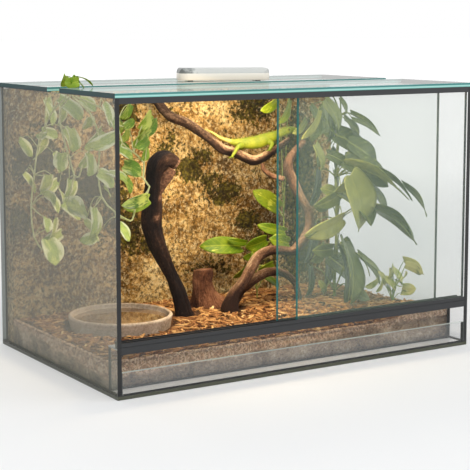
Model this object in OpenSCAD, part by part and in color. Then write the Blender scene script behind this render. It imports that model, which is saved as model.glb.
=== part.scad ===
// Planted glass terrarium with two sliding front doors.
// Origin: centre of the underside. +X right, -Y front, +Z up. Millimetres.

/* [Tank] */
// Width over the side panes
tank_w = 600; // [500:10:900]
// Depth from the front edge to the back of the back pane
tank_d = 384; // [340:2:600]
// Height over the top glass
tank_h = 401; // [340:1:600]
// Thickness of the wall and top panes
glass_t = 6; // [4:0.5:8]
// Thickness of the floor pane
floor_t = 5; // [4:0.5:10]
// Thickness of the sealant in the joints
seam_t = 1; // [0.5:0.1:2]
// Height of the front sill pane's top edge
sill_top = 36; // [25:1:50]
// Height of the top edge of the pane that holds back the bed
bed_wall_top = 64; // [52:1:90]
// Distance from the front edge to the bed's pane
bed_wall_y = 32; // [24:1:60]
// Depth of the front top pane
top_front_d = 166; // [100:1:220]
// Open slot between the two top panes
slot_w = 40; // [25:1:60]

/* [Sliding doors] */
// Glass thickness of a door
door_t = 5; // [3:0.5:6]
// Play between a door and each wall of its channel
door_play = 0.5; // [0.3:0.1:1]
// Gap under a door and at its end stops
door_seat = 0.2; // [0.1:0.05:0.5]
// Width of the front door
front_door_w = 307; // [260:1:450]
// Width of the rear door
rear_door_w = 288; // [260:1:450]
// How far the rear door stands from the right stop
rear_door_gap = 47; // [0:1:290]
// Wall thickness of the runners
runner_wall = 2; // [1.2:0.1:3]
// Floor thickness of the bottom runner
runner_base = 4.5; // [2:0.1:6]
// Depth of the bottom channels
low_channel = 4.5; // [3:0.1:8]
// Height of the top runner
top_runner_h = 8; // [7:0.5:20]
// Roof thickness of the top runner
top_runner_base = 1.2; // [1:0.1:3]
// How far the bottom runner's lip hangs below the vent strip
lip_drop = 4; // [1:0.5:12]

/* [Vent strip] */
// Sheet thickness of the vent strip
strip_t = 2; // [1:0.1:3]
// Width of a vent slot
vent_slot_w = 3; // [2:0.5:5]
// Distance between vent slots
vent_pitch = 8; // [6:0.5:14]

/* [Bed and cork] */
// Height of the soil's top face
bed_top = 40; // [25:1:50]
// Thinnest part of the bark chip layer
chip_t = 3.5; // [2:0.5:8]
// Rise of the mound in the right front corner
mound_h = 14; // [0:1:20]
// Thickness of the flat part of the cork wall
cork_t = 22; // [15:1:30]
// Relief of the cork wall
cork_relief = 13; // [4:1:18]
// Clearance between loose fillings and the glass
fill_gap = 0.3; // [0.1:0.1:1]

/* [Water bowl] */
// Outer diameter of the bowl's rim
bowl_d = 156; // [100:2:180]
// Height of the bowl
bowl_h = 21; // [18:1:30]
// Wall thickness of the bowl
bowl_wall = 6; // [4:0.5:9]
// Depth of the water
water_h = 9; // [4:1:10]

/* [Lamp] */
// Length of the lamp
lamp_l = 142; // [110:1:200]
// Depth of the lamp
lamp_d = 50; // [46:1:80]
// Height of the lamp on its feet
lamp_h = 20; // [18:0.5:30]
// Height of the feet
lamp_foot_h = 1.5; // [1:0.5:3]
// Height of the joint between tray and cover
lamp_split = 12; // [10:0.5:14]
// Wall thickness of the lamp's shells
lamp_wall = 2; // [1.5:0.1:3]
// Turn of the lamp on the glass
lamp_turn = -22; // [-40:1:40]
// Lamp's centre, to the right of the middle
lamp_x = 23; // [-80:1:80]
// Lamp's centre, behind the slot
lamp_back = 56; // [52:1:96]

/* [Plants] */
// Diameter of a vine
vine_d = 2.6; // [2:0.1:4]
// Diameter of a leaf stalk
stalk_d = 2; // [1.4:0.1:3]
// Thickness of a leaf
leaf_t = 0.8; // [0.5:0.1:1.5]
// Gap at which leaves, stalks and feet seat
seat = 0.3; // [0.2:0.05:0.5]

/* [Hidden] */

// Tank planes
half_w = tank_w / 2;
half_d = tank_d / 2;
inner_w = tank_w - 2 * glass_t;
half_in = inner_w / 2;
wall_z = floor_t + seam_t;
top_z = tank_h - glass_t;
wall_top = top_z - seam_t;
back_in = half_d - glass_t;
bed_wall_back = -half_d + bed_wall_y + glass_t;
slot_front = -half_d + top_front_d;
slot_back = slot_front + slot_w;

// Runners and doors
channel = door_t + 2 * door_play;
runner_d = 3 * runner_wall + 2 * channel;
strip_top = bed_wall_top + strip_t;
channel_floor = strip_top + runner_base;
runner_top = channel_floor + low_channel;
top_runner_z = top_z - top_runner_h;
channel_roof = top_z - top_runner_base;
door_z = channel_floor + door_seat;
door_top = channel_roof - low_channel - 1.5 * door_seat;
door_stop = half_in - door_play;
front_door_y = -half_d + runner_wall + door_play;
rear_door_y = front_door_y + channel + runner_wall;

// Cork, bed and the space that the planting fills
cork_front = back_in - fill_gap - cork_t;
cork_top = wall_top - 2;
chips_w = inner_w - 2 * fill_gap;
bed_front = bed_wall_back + fill_gap;
bed_d = cork_front - fill_gap - bed_front;
cabin_h = top_z - bed_top;

// The planting plan is drawn for a cabin of this width, depth and height
plan = [588, 384, 355];
function spot(p) = [p[0] * inner_w / plan[0], p[1] * tank_d / plan[1], bed_top + p[2] * cabin_h / plan[2]];
function ring_spot(p) = [for (i = [0:3]) i < 3 ? spot(p)[i] : p[3]];

function unit(v) = v / norm(v);
function wave(t) = 0.5 - 0.5 * cos(180 * max(0, min(1, t)));

// Value of a smooth curve through a, b, c, d at share t of the stretch from b to c
function blend(a, b, c, d, t) =
    (2 * b + (c - a) * t + (2 * a - 5 * b + 4 * c - d) * t * t + (3 * b - a - 3 * c + d) * t * t * t) / 2;
function at(p, i) = p[max(0, min(len(p) - 1, i))];
function smooth(p, n) = concat(
    [for (i = [0:len(p) - 2], k = [0:n - 1]) blend(at(p, i - 1), p[i], p[i + 1], at(p, i + 2), k / n)],
    [p[len(p) - 1]]);

function xyz(p) = [p[0], p[1], p[2]];
function along(p, i) = unit(xyz(at(p, i + 1)) - xyz(at(p, i - 1)));

// Tube through rings [x, y, z, r]. It stays a closed solid of flat triangles.
module limb(rings, sides = 8, side_dir = [0, 1, 0], lumps = 0) {
    n = len(rings);
    points = [for (i = [0:n - 1], k = [0:sides - 1])
        let (t = along(rings, i), u = unit(cross(t, side_dir)), v = cross(t, u),
             a = 360 * k / sides,
             r = rings[i][3] * (1 + lumps * sin(3 * a + 67 * i) * sin(180 * i / (n - 1))))
        xyz(rings[i]) + r * (cos(a) * u + sin(a) * v)];
    walls = [for (i = [0:n - 2], k = [0:sides - 1])
        let (a = i * sides + k, b = i * sides + (k + 1) % sides)
        each [[a, a + sides, b], [b, a + sides, b + sides]]];
    ends = [[for (k = [0:sides - 1]) k], [for (k = [sides - 1:-1:0]) (n - 1) * sides + k]];
    polyhedron(points, concat(walls, ends), convexity = 6);
}

// Block of size [x, y] on z = 0 whose top is the height function on a grid of cells
module relief(size, cells, height) {
    nx = cells[0];
    ny = cells[1];
    row = nx + 1;
    top = [for (j = [0:ny], i = [0:nx])
        let (x = size[0] * i / nx, y = size[1] * j / ny) [x, y, height(x / size[0], y / size[1])]];
    edge = concat([for (i = [0:nx - 1]) i], [for (j = [0:ny - 1]) j * row + nx],
                  [for (i = [nx:-1:1]) ny * row + i], [for (j = [ny:-1:1]) j * row]);
    m = len(edge);
    base = len(top);
    foot = concat([for (e = edge) [top[e][0], top[e][1], 0]], [[size[0] / 2, size[1] / 2, 0]]);
    cover = [for (j = [0:ny - 1], i = [0:nx - 1])
        let (a = j * row + i) each [[a, a + row, a + 1], [a + 1, a + row, a + row + 1]]];
    sides = [for (k = [0:m - 1]) let (q = (k + 1) % m)
        each [[edge[k], edge[q], base + k], [edge[q], base + q, base + k], [base + k, base + q, base + m]]];
    polyhedron(concat(top, foot), concat(cover, sides), convexity = 8);
}

module pane(x, y, z, w, d, h) translate([x, y, z]) cube([w, d, h]);
module both_sides() {
    children();
    mirror([1, 0, 0]) children();
}

// ---- Glass box ----
module floor_pane() color([0.45, 0.56, 0.50, 0.5]) pane(-half_w, -half_d, 0, tank_w, tank_d, floor_t);

module side_pane() pane(-half_w, -half_d + seam_t, wall_z, glass_t, tank_d - seam_t, wall_top - wall_z);
module left_pane() color([0.75, 0.85, 0.83, 0.35]) side_pane();
module right_pane() color([0.75, 0.85, 0.83, 0.35]) mirror([1, 0, 0]) side_pane();

// A pane between the side panes, from height z0 to z1, its front face at y
module cross_pane(y, z0, z1) pane(-half_in + seam_t, y, z0, inner_w - 2 * seam_t, glass_t, z1 - z0);
module back_pane() color([0.75, 0.85, 0.83, 0.35]) cross_pane(back_in, wall_z, wall_top);
module sill_pane() color([0.70, 0.82, 0.78, 0.4]) cross_pane(-half_d, wall_z, sill_top);
module bed_wall_pane() color([0.75, 0.85, 0.83, 0.35])
    cross_pane(-half_d + bed_wall_y, wall_z, bed_wall_top);

module end_seams(y, z0, z1) both_sides() pane(-half_in, y, z0, seam_t, glass_t, z1 - z0);
module rear_corner_seams() color("#20242a") end_seams(back_in, wall_z, wall_top);
module low_pane_seams() color("#20242a") {
    end_seams(-half_d, wall_z, sill_top);
    end_seams(-half_d + bed_wall_y, wall_z, bed_wall_top);
}
module base_seam() color("#20242a") {
    both_sides() pane(-half_w, -half_d + seam_t, floor_t, glass_t, tank_d - seam_t, seam_t);
    for (y = [-half_d, -half_d + bed_wall_y, back_in]) pane(-half_in, y, floor_t, inner_w, glass_t, seam_t);
}
module top_seam() color("#20242a") {
    both_sides() {
        pane(-half_w, -half_d + seam_t, wall_top, glass_t, top_front_d - seam_t, seam_t);
        pane(-half_w, slot_back, wall_top, glass_t, half_d - slot_back, seam_t);
    }
    pane(-half_in, back_in, wall_top, inner_w, glass_t, seam_t);
}
module edge_strip() pane(-half_w, -half_d, floor_t, glass_t, seam_t, top_z - floor_t);
module left_edge_strip() color("#1b1e22") edge_strip();
module right_edge_strip() color("#1b1e22") mirror([1, 0, 0]) edge_strip();
module top_front_pane() color([0.40, 0.66, 0.62, 0.5])
    pane(-half_w, -half_d, top_z, tank_w, top_front_d, glass_t);
module top_rear_pane() color([0.40, 0.66, 0.62, 0.5])
    pane(-half_w, slot_back, top_z, tank_w, half_d - slot_back, glass_t);

// ---- Runners, doors and vent ----
// Comb section of a runner, open upwards, with its floor on y = 0 and its front on x = 0
module comb(base, depth) difference() {
    square([runner_d, base + depth]);
    for (k = [0:1]) translate([runner_wall + k * (channel + runner_wall), base])
        square([channel, depth + 1]);
}
module run(section_z) translate([-half_in, -half_d, section_z])
    rotate([90, 0, 90]) linear_extrude(inner_w) children();
module bottom_runner() color("#2b2f36") run(strip_top) difference() {
    union() {
        comb(runner_base, low_channel);
        translate([0, -strip_t - lip_drop]) square([runner_wall, strip_t + lip_drop]);
    }
    // Shadow line along the front face
    translate([-1, runner_base - 1.2]) square([1 + runner_wall / 3, 1]);
}
module top_runner() color("#2b2f36") run(top_z) mirror([0, 1])
    comb(top_runner_base, top_runner_h - top_runner_base);

module door(x, y, w) pane(x, y, door_z, w, door_t, door_top - door_z);
module front_door() color([0.80, 0.92, 0.92, 0.3])
    door(door_stop - front_door_w, front_door_y, front_door_w);
module rear_door() color([0.80, 0.92, 0.92, 0.3])
    door(door_stop - rear_door_gap - rear_door_w, rear_door_y, rear_door_w);

strip_y = -half_d + runner_wall;
strip_d = bed_wall_back - strip_y;
vent_y = -half_d + runner_d + vent_slot_w;
vent_l = -half_d + bed_wall_y - vent_y - vent_slot_w;
module vent_strip() color("#c3c7c8") translate([0, 0, bed_wall_top]) linear_extrude(strip_t) difference() {
    translate([-half_in, strip_y]) square([inner_w, strip_d]);
    slots = floor((inner_w - 2 * vent_pitch) / vent_pitch);
    for (k = [0:slots - 1]) translate([(k - (slots - 1) / 2) * vent_pitch - vent_slot_w / 2, vent_y])
        square([vent_slot_w, vent_l]);
}

// ---- Cork wall, bed and chips ----
cork_w = inner_w - 2 * fill_gap;
cork_h = cork_top - floor_t;
// Round hollow in the cork where the branch stands
hollow_at = spot([-51, 0, 330]);
hollow_r = 46;
hollow_edge = 16;
function hollow(u, v) = wave((hollow_r - norm([(u - 0.5) * cork_w - hollow_at[0],
                                              floor_t + v * cork_h - hollow_at[2]])) / hollow_edge);
// The lumps fade out towards the bed, so that the bed's back edge meets a flat face
function cork_lumps(u, v) = (1 - hollow(u, v)) * wave((v * cork_h - bed_top - 2 * chip_t - mound_h) / 60)
    * (0.5 + 0.22 * sin(690 * u + 95 * sin(560 * v)) + 0.17 * sin(980 * v + 120 * sin(430 * u) + 40)
       + 0.11 * sin(1900 * u + 70) * cos(1650 * v));
module cork_wall() color("#b98a4a")
    translate([-cork_w / 2, cork_front + cork_t, floor_t]) rotate([90, 0, 0])
        relief([cork_w, cork_h], [36, 24], function(u, v) cork_t + cork_relief * cork_lumps(u, v));

module soil_bed() color("#6b5a49") pane(-chips_w / 2, bed_front, floor_t, chips_w, bed_d, bed_top - floor_t);
// The chips lie as one layer that rises to a mound in the right front corner
mound_r = 110;
module mound() translate([chips_w / 2 - 42, bed_front + 30, bed_top]) rotate_extrude($fn = 96)
    polygon(concat([[0, 0]], [for (t = [1:-0.1:-0.01])
        [mound_r * t, chip_t + (mound_h - chip_t) * wave(1 - t)]]));
module bark_chips() color("#c07f3c") difference() {
    intersection() {
        union() {
            pane(-chips_w / 2, bed_front, bed_top, chips_w, bed_d, chip_t);
            mound();
        }
        pane(-chips_w / 2, bed_front, bed_top, chips_w, bed_d, mound_h + 1);
    }
    for (f = feet) translate([f[0], f[1], bed_top - 1]) cylinder(r = f[2], h = mound_h + 10, $fn = 48);
}

// ---- Water bowl ----
bowl_at = spot([-175, 40, 0]);
bowl_r = bowl_d / 2;
bowl_floor = 5;
bowl_shoulder = bowl_h - bowl_wall / 2;
// Inside radius at height z over the bowl's foot: a rounded corner, then a flaring wall
corner_h = 3;
function bowl_inside(z) = z < bowl_floor + corner_h
    ? bowl_r - bowl_wall - 10 + 5 * (z - bowl_floor) / corner_h
    : bowl_r - bowl_wall - 5 + 5 * (z - bowl_floor - corner_h) / (bowl_shoulder - bowl_floor - corner_h);
function bowl_line(z0, z1, gap) = concat([[0, z0]],
    [for (z = [z0, bowl_floor + corner_h, z1]) [bowl_inside(z) - gap, z]], [[0, z1]]);
module in_bowl() translate([bowl_at[0], bowl_at[1], bed_top]) rotate_extrude($fn = 96) children();
module water_bowl() color("#a8927c") in_bowl() difference() {
    union() {
        polygon([[0, 0], [bowl_r - 4, 0], [bowl_r, bowl_shoulder], [0, bowl_shoulder]]);
        intersection() {
            translate([bowl_r - bowl_wall / 2, bowl_shoulder]) circle(d = bowl_wall, $fn = 48);
            translate([0, bowl_shoulder - 0.01]) square([bowl_r, bowl_wall]);
        }
    }
    polygon(bowl_line(bowl_floor, bowl_shoulder, 0));
}
module bowl_water() color([0.45, 0.33, 0.22, 0.8]) in_bowl()
    polygon(bowl_line(bowl_floor + seat, bowl_floor + water_h, seat));

// ---- Wood ----
trunk_path = [[-56, 48, 0, 15], [-56.5, 48, 10, 15], [-59, 48, 22, 14.5], [-66, 48, 40, 14],
              [-86, 50, 92, 15], [-105, 50, 138, 14], [-115, 48, 184, 13], [-114, 46, 214, 12.5],
              [-116, 44, 234, 12], [-108, 42, 250, 12],
              [-94, 41, 254, 12], [-81, 40, 248, 11]];
upper_path = [[-51, 163.2, 330, 7], [-51, 158, 330, 7], [-51, 152, 330, 7], [-40, 128, 306, 7.5],
              [-17, 113, 294, 7.5], [-4, 98, 282, 7], [8, 86, 270, 7], [25, 76, 254, 7.5],
              [42, 68, 248, 7.5], [57, 60, 240, 7.5], [70, 54, 235, 7.5],
              [84, 48, 240, 7], [96, 43, 248, 6], [108, 38, 256, 5], [124, 32, 268, 4]];
leaning_path = [[18, 38, 0, 14.5], [19, 37.8, 12, 13], [23, 36.5, 21, 11.7], [34, 33, 35, 10.5],
                [47, 30, 58, 9.5], [60, 26, 84, 8.5],
            [76, 22, 96, 8], [94, 16, 97, 8], [114, 12, 93, 8], [124, 8, 100, 9], [135, 4, 115, 9],
            [143, 4, 132, 8.5], [141, 6, 155, 8], [128, 10, 179, 8], [117, 14, 203, 8], [110, 16, 220, 7.5],
            [112, 17, 236, 7], [124, 19, 250, 6], [144, 22, 264, 5]];
stick_path = [[36, 56, 0, 6.5], [37, 56, 10, 6.5], [40, 55.3, 18, 6.8], [46, 54, 29, 7],
              [60, 53, 39, 7.5], [74, 53, 47, 7.5],
              [90, 53, 53, 7.5], [104, 54, 54, 7], [118, 55, 52, 6.5], [136, 56, 45, 6], [152, 57, 31, 5],
              [160, 57, 8, 5], [160, 57, 4, 5], [160, 57, seat, 5]];
twig_path = [[107, 22.5, 207, 3.8], [103, 27, 207, 3.6], [92, 38, 212, 3.4], [83, 45, 221, 3.2],
             [82, 47, 230.5, 2.6]];
stump_path = [[3, 99, 0, 22], [2.7, 98.8, 12, 20.5], [0, 97, 30, 17], [-1, 95, 60, 15]];
// Share of a limb's radius by which its bark swells and shrinks
bark_lumps = 0.06;
function grown(path) = [for (p = path) ring_spot(p)];
// The same for wood that stands on the soil, with a short upright foot
root_h = 5;
function rooted(path) = grown(concat([for (z = [seat, root_h / 2, root_h])
                                          [path[0][0], path[0][1], z, path[0][3]]],
                                     [for (i = [1:len(path) - 1]) path[i]]));

module main_trunk() color("#3a2b24") limb(smooth(rooted(trunk_path), 2), 10, [0, 1, 0], bark_lumps);
module upper_branch() color("#4a3830") limb(smooth(grown(upper_path), 2), 10, [0, 0.3, 1], bark_lumps);
module leaning_branch() color("#7a5546") limb(smooth(rooted(leaning_path), 2), 10, [0, 1, 0], bark_lumps);
module low_stick() color("#7a5a48") limb(smooth(rooted(stick_path), 2), 8, [0, 1, 0], bark_lumps);
module cross_twig() color("#a5805a") limb(smooth(grown(twig_path), 2), 8, [0, 0.2, 1]);
module cork_stump() color("#8a5a3c") limb(smooth(rooted(stump_path), 2), 12, [0, 1, 0], bark_lumps);

// ---- Leaves and stalks ----
// Width of a heart leaf at share t of its length, as a share of its greatest width
function leaf_share(t) = pow(sin(180 * pow(t, 0.62)), 0.85) + 0.10 * (1 - t);
leaf_rows = 6;
// A stalk tapers to this radius at its leaf
stalk_tip = 0.3;

// Folded, drooping leaf from its stalk end to its tip. turn rolls it about its own length.
module leaf(stalk_end, tip, w, turn = 0) {
    len_dir = unit(tip - stalk_end);
    flat = unit(cross(len_dir, [0.5, -0.86, 0]));
    front = cross(flat, len_dir);
    side = cos(turn) * flat + sin(turn) * front;
    up = cross(side, len_dir);
    l = norm(tip - stalk_end);
    start = stalk_end + (seat + stalk_tip + leaf_t) * up;
    shape = [for (i = [0:leaf_rows])
        let (t = i / leaf_rows, half = w / 2 * leaf_share(t) + (i == leaf_rows ? 0.3 : 0))
        [t * l, half, 0.10 * l * sin(180 * t)]];
    points = [for (face = [0, 1], s = shape, k = [-1:1])
        start + s[0] * len_dir + k * s[1] * side + (s[2] + abs(k) * 0.25 * s[1] - face * leaf_t) * up];
    m = 3 * (leaf_rows + 1);
    skin = [for (i = [0:leaf_rows - 1], k = [0:1]) let (a = 3 * i + k)
        each [[a, a + 1, a + 3], [a + 1, a + 4, a + 3], [m + a, m + a + 3, m + a + 1],
              [m + a + 1, m + a + 3, m + a + 4]]];
    rims = [for (i = [0:leaf_rows - 1]) let (a = 3 * i, b = 3 * i + 2)
        each [[a, a + 3, m + a], [a + 3, m + a + 3, m + a], [b, m + b, b + 3], [b + 3, m + b, m + b + 3]]];
    last = 3 * leaf_rows;
    caps = [for (k = [0:1]) each [[k, m + k, k + 1], [k + 1, m + k, m + k + 1],
        [last + k, last + k + 1, m + last + k], [last + k + 1, m + last + k + 1, m + last + k]]];
    polyhedron(points, concat(skin, rims, caps), convexity = 4);
}
module leaves(plan_rows) for (p = plan_rows) leaf(spot(p[1]), spot(p[2]), p[3], p[4]);

// Vine along a smoothed path, whose last end reaches half its own thickness further
module vine(path, d = vine_d) {
    n = len(path) - 1;
    full = concat([for (i = [0:n - 1]) path[i]], [path[n] + d / 2 * unit(path[n] - path[n - 1])]);
    limb([for (q = smooth(full, 2)) concat(q, d / 2)], 6, [0.3, 1, 0.2]);
}
// Stalk from the surface of a stem at a to its leaf at b. rise lifts its middle.
module stalk(a, b, stem_r, rise) {
    start = a + unit(b - a) * (stem_r + seat);
    limb([for (t = [0, 0.4, 0.8, 1]) let (q = start + t * (b - start))
        [q[0], q[1], q[2] + rise * norm(b - start) * sin(180 * t),
         max(stalk_tip, stalk_d / 2 * (1 - pow(t, 5)))]],
         6, [0.31, 1, 0.2]);
}
module stalks(plan_rows, stem_r = vine_d / 2, rise = -0.04)
    for (p = plan_rows) stalk(spot(p[0]), spot(p[1]), stem_r, rise);

// Each vine hangs in the slot, against the front pane's rear edge
hang_y = slot_front + vine_d / 2 + seat;
function hung(x, path) = concat([for (z = [3, -2, -7]) [x * inner_w / plan[0], hang_y, top_z + z]],
                                [for (p = path) spot(p)]);
vine_a = [[-287, 22, 328], [-287, 52, 303], [-286, 80, 271], [-287, 92, 230], [-286, 108, 181],
          [-284, 104, 137], [-279, 88, 120]];
vine_b = [[-285, 0, 334], [-285, 4, 308], [-281, -3, 281], [-277, -7, 262], [-275, -17, 239],
          [-272, -27, 238],
          [-272, -35, 252]];
vine_c = [[-250, -48, 335], [-236, -72, 312], [-229, -74, 286], [-206, -64, 271], [-184, -54, 254],
          [-189, -60, 234], [-180, -62, 221], [-186, -62, 212]];
vine_d_path = [[-262, -44, 326], [-258, -64, 290], [-262, -66, 250], [-258, -68, 212], [-244, -80, 192],
               [-226, -80, 180], [-214, -74, 178], [-209, -72, 192]];

// Stalk's foot on its vine, leaf's stalk end, leaf's tip, leaf's width and turn
hanging_plan = [
    [vine_a[0], [-273, 24, 338], [-274, 36, 306], 18, 0],
    [vine_a[1], [-279, 62, 294], [-281, 100, 288], 14, -30],
    [vine_a[2], [-270, 100, 280], [-272, 130, 250], 26, 0],
    [vine_a[3], [-278, 64, 232], [-281, 84, 206], 17, -30],
    [vine_a[4], [-276, 76, 166], [-284, 60, 148], 13, -30],
    [vine_a[6], [-274, 78, 134], [-270, 60, 98], 28, -25],
    [vine_b[0], [-276, 8, 336], [-258, -6, 314], 26, 0],
    [vine_b[1], [-271, 6, 302], [-272, -8, 270], 27, 0],
    [vine_b[2], [-273, 26, 266], [-275, 22, 240], 19, 150],
    [vine_b[3], [-272, 6, 230], [-279, 6, 205], 14, 0],
    [vine_b[6], [-266, -44, 268], [-271, -54, 240], 24, 0],
    [vine_b[4], [-274, 12, 192], [-266, -36, 187], 27, 0],
    [vine_c[0], [-252, -72, 330], [-246, -84, 306], 15, 0],
    [vine_c[1], [-244, -84, 298], [-280, -68, 283], 19, 0],
    [vine_c[1], [-222, -66, 308], [-204, -62, 317], 12, 0],
    [vine_c[2], [-238, -84, 278], [-222, -90, 264], 12, 0],
    [vine_c[3], [-186, -46, 293], [-156, -42, 315], 17, 0],
    [vine_c[4], [-182, -62, 288], [-214, -82, 280], 15, 0],
    [vine_c[5], [-226, -72, 255], [-200, -76, 240], 18, 0],
    [vine_c[6], [-188, -66, 206], [-240, -90, 204], 15, 0],
    [vine_d_path[2], [-252, -73, 246], [-236, -98, 233], 20, 0],
    [vine_d_path[3], [-268, -60, 196], [-274, -64, 158], 18, 0],
    [vine_d_path[4], [-246, -92, 176], [-234, -100, 152], 16, 0]];
module hanging_vines() color("#a9b46a") {
    vine(hung(-290, vine_a));
    vine(hung(-284, vine_b));
    vine(hung(-273, vine_c));
    vine(hung(-278.5, vine_d_path));
    stalks(hanging_plan);
}
module hanging_leaves() color("#5f9a3f") leaves([for (p = hanging_plan) [0, p[1], p[2], p[3], p[4]]]);

// The sprout stands in the slot and lays two leaves over the top panes
sprout_foot = [-258 * inner_w / plan[0], hang_y, top_z - 4];
sprout_tip = sprout_foot + [-12, 6, 24];
module sprout_stalk() color("#7d9a3e")
    limb([for (q = smooth([sprout_foot, sprout_foot + [-3, 0, 9], sprout_foot + [-8, 4, 17], sprout_tip], 3))
        concat(q, stalk_d / 2)], 6, [0.3, 1, 0.2]);
module sprout_leaves() color("#6aa32c") {
    leaf(sprout_tip + [0.3, 0, 0], sprout_tip + [26, 3, -13], 9, 80);
    leaf(sprout_foot + [-10.2, 4, 18], sprout_foot + [-31, 8, 16], 18);
}

low_plant_vine = [[100, 90, seat], [99, 88, 20], [94, 84, 60], [106, 80, 95], [136, 72, 108],
                  [152, 90, 134]];
low_plan = [
    [low_plant_vine[3], [80, 108, 90], [14, 128, 92], 23, -20],
    [low_plant_vine[3], [84, 98, 97], [52, 106, 104], 9, 20],
    [low_plant_vine[3], [106, 73, 104], [73, 84, 93], 21, 0],
    [low_plant_vine[4], [134, 60, 116], [92, 78, 128], 14, 20],
    [low_plant_vine[4], [136, 52, 98], [100, 56, 106], 18, 0],
    [low_plant_vine[2], [82, 76, 84], [74, 72, 57], 15, 0],
    [low_plant_vine[1], [80, 86, 64], [57, 96, 42], 11, 0],
    [low_plant_vine[2], [112, 62, 66], [87, 68, 56], 11, 0],
    [low_plant_vine[5], [150, 102, 148], [104, 110, 180], 22, 20]];
module low_plant_stalks() color("#6d8f3a") {
    vine([for (p = low_plant_vine) spot(p)], stalk_d);
    stalks(low_plan);
}
module low_plant_leaves() color("#3f7a33") leaves(low_plan);

tall_vine = [[222, 44, seat], [222, 44, 12], [224, 45, 60], [228, 47, 130], [226, 48, 200],
             [232, 50, 262], [238, 52, 300]];
tall_plan = [
    [tall_vine[4], [228, 14, 216], [276, -76, 170], 60, 15],
    [tall_vine[3], [244, -34, 152], [278, -92, 106], 38, 10],
    [tall_vine[3], [196, -4, 182], [224, -50, 132], 50, 0],
    [tall_vine[5], [236, 72, 270], [222, 72, 328], 32, 180],
    [tall_vine[6], [244, 46, 292], [258, 30, 268], 15, 0],
    [tall_vine[6], [252, 44, 304], [280, 6, 270], 9, 60],
    [tall_vine[5], [158, 26, 270], [188, 38, 302], 16, 0],
    [tall_vine[5], [184, 44, 252], [177, 34, 219], 23, 0],
    [tall_vine[3], [198, 22, 162], [162, 20, 158], 13, 30],
    [tall_vine[4], [208, 26, 178], [182, 30, 186], 13, 0],
    [tall_vine[2], [190, -20, 143], [102, -40, 120], 17, 20],
    [tall_vine[2], [188, -24, 106], [168, -70, 16], 44, 0],
    [tall_vine[2], [176, 12, 96], [146, 4, 74], 18, 0],
    [tall_vine[1], [214, -24, 84], [224, -46, 50], 12, 20],
    [tall_vine[1], [226, 4, 78], [262, -30, 46], 13, 20]];
tall_stem_d = 5;
module tall_plant_stalks() color("#5d7f3d") {
    vine([for (p = tall_vine) spot(p)], tall_stem_d);
    stalks(tall_plan, tall_stem_d / 2, 0.12);
}
module tall_plant_leaves() color("#3e6b3a") leaves(tall_plan);

pothos_vine = [[264, -56, seat], [264, -56, 8], [262, -54, 22], [268, -60, 34]];
pothos_plan = [
    [pothos_vine[3], [274, -74, 68], [281, -106, 58], 14, 30],
    [pothos_vine[2], [258, -46, 36], [264, -48, 62], 14, 0],
    [pothos_vine[2], [252, -50, 36], [244, -42, 56], 13, 0],
    [pothos_vine[3], [274, -68, 32], [283, -90, 30], 11, 30],
    [pothos_vine[3], [268, -66, 42], [272, -78, 60], 13, 0]];
module pothos_stalks() color("#9aa860") {
    vine([for (p = pothos_vine) spot(p)], stalk_d);
    stalks(pothos_plan);
}
module pothos_leaves() color("#7ca548") leaves(pothos_plan);

// ---- Lizard: a figure that lies along the upper branch ----
lizard_spine = [[12, 78, 274, 0.8], [29, 72, 268, 2], [44, 68, 267, 3.6], [56, 64, 266, 6], [67, 60, 266, 8],
                [79, 56, 268, 8.5], [92, 52, 270, 8], [104, 48, 273, 6.5], [113, 45, 276, 4.8],
                [122, 43, 280, 7],
                [132, 40, 284, 5.5], [142, 38, 287, 2.5]];
foot_r = 1.8;
// Where a foot of the figure stands on ring i of the branch, on the side that dir points to
function footing(i, dir) = let (path = grown(upper_path), q = path[i], t = along(path, i))
    xyz(q) + unit(dir - (dir * t) * t) * (q[3] * (1 + bark_lumps) + foot_r + seat);
// Hip on the spine, knee beside it, ring of the branch and side of the branch for each foot
lizard_legs = [[3, [-4, -13, -3], 8, [-0.3, -1, 0.5]], [3, [-2, 12, -2], 8, [-0.3, 1, 0.5]],
               [7, [2, -12, -4], 12, [0, -1, 0.6]], [7, [0, 11, -3], 12, [0, 1, 0.6]]];
module lizard_figure() color("#a9c72b") {
    limb(smooth(grown(lizard_spine), 2), 10, [0, 0.2, 1]);
    for (leg = lizard_legs) {
        hip = spot(xyz(lizard_spine[leg[0]]));
        foot = footing(leg[2], leg[3]);
        limb(smooth([concat(hip, 3.4), concat(hip + leg[1], 2.8), concat(foot, foot_r)], 3),
             6, [0.3, 0.2, 1]);
    }
}

// ---- Lamp ----
module on_lamp() translate([lamp_x, slot_back + lamp_back, tank_h]) rotate([0, 0, lamp_turn]) children();
lamp_corner = 14;
crown = 6;
crown_z = 8;
module round_plate(w, d, r) {
    square([w - 2 * r, d], center = true);
    square([w, d - 2 * r], center = true);
    for (x = [-1, 1], y = [-1, 1]) translate([x * (w / 2 - r), y * (d / 2 - r)]) circle(r, $fn = 48);
}
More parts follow.
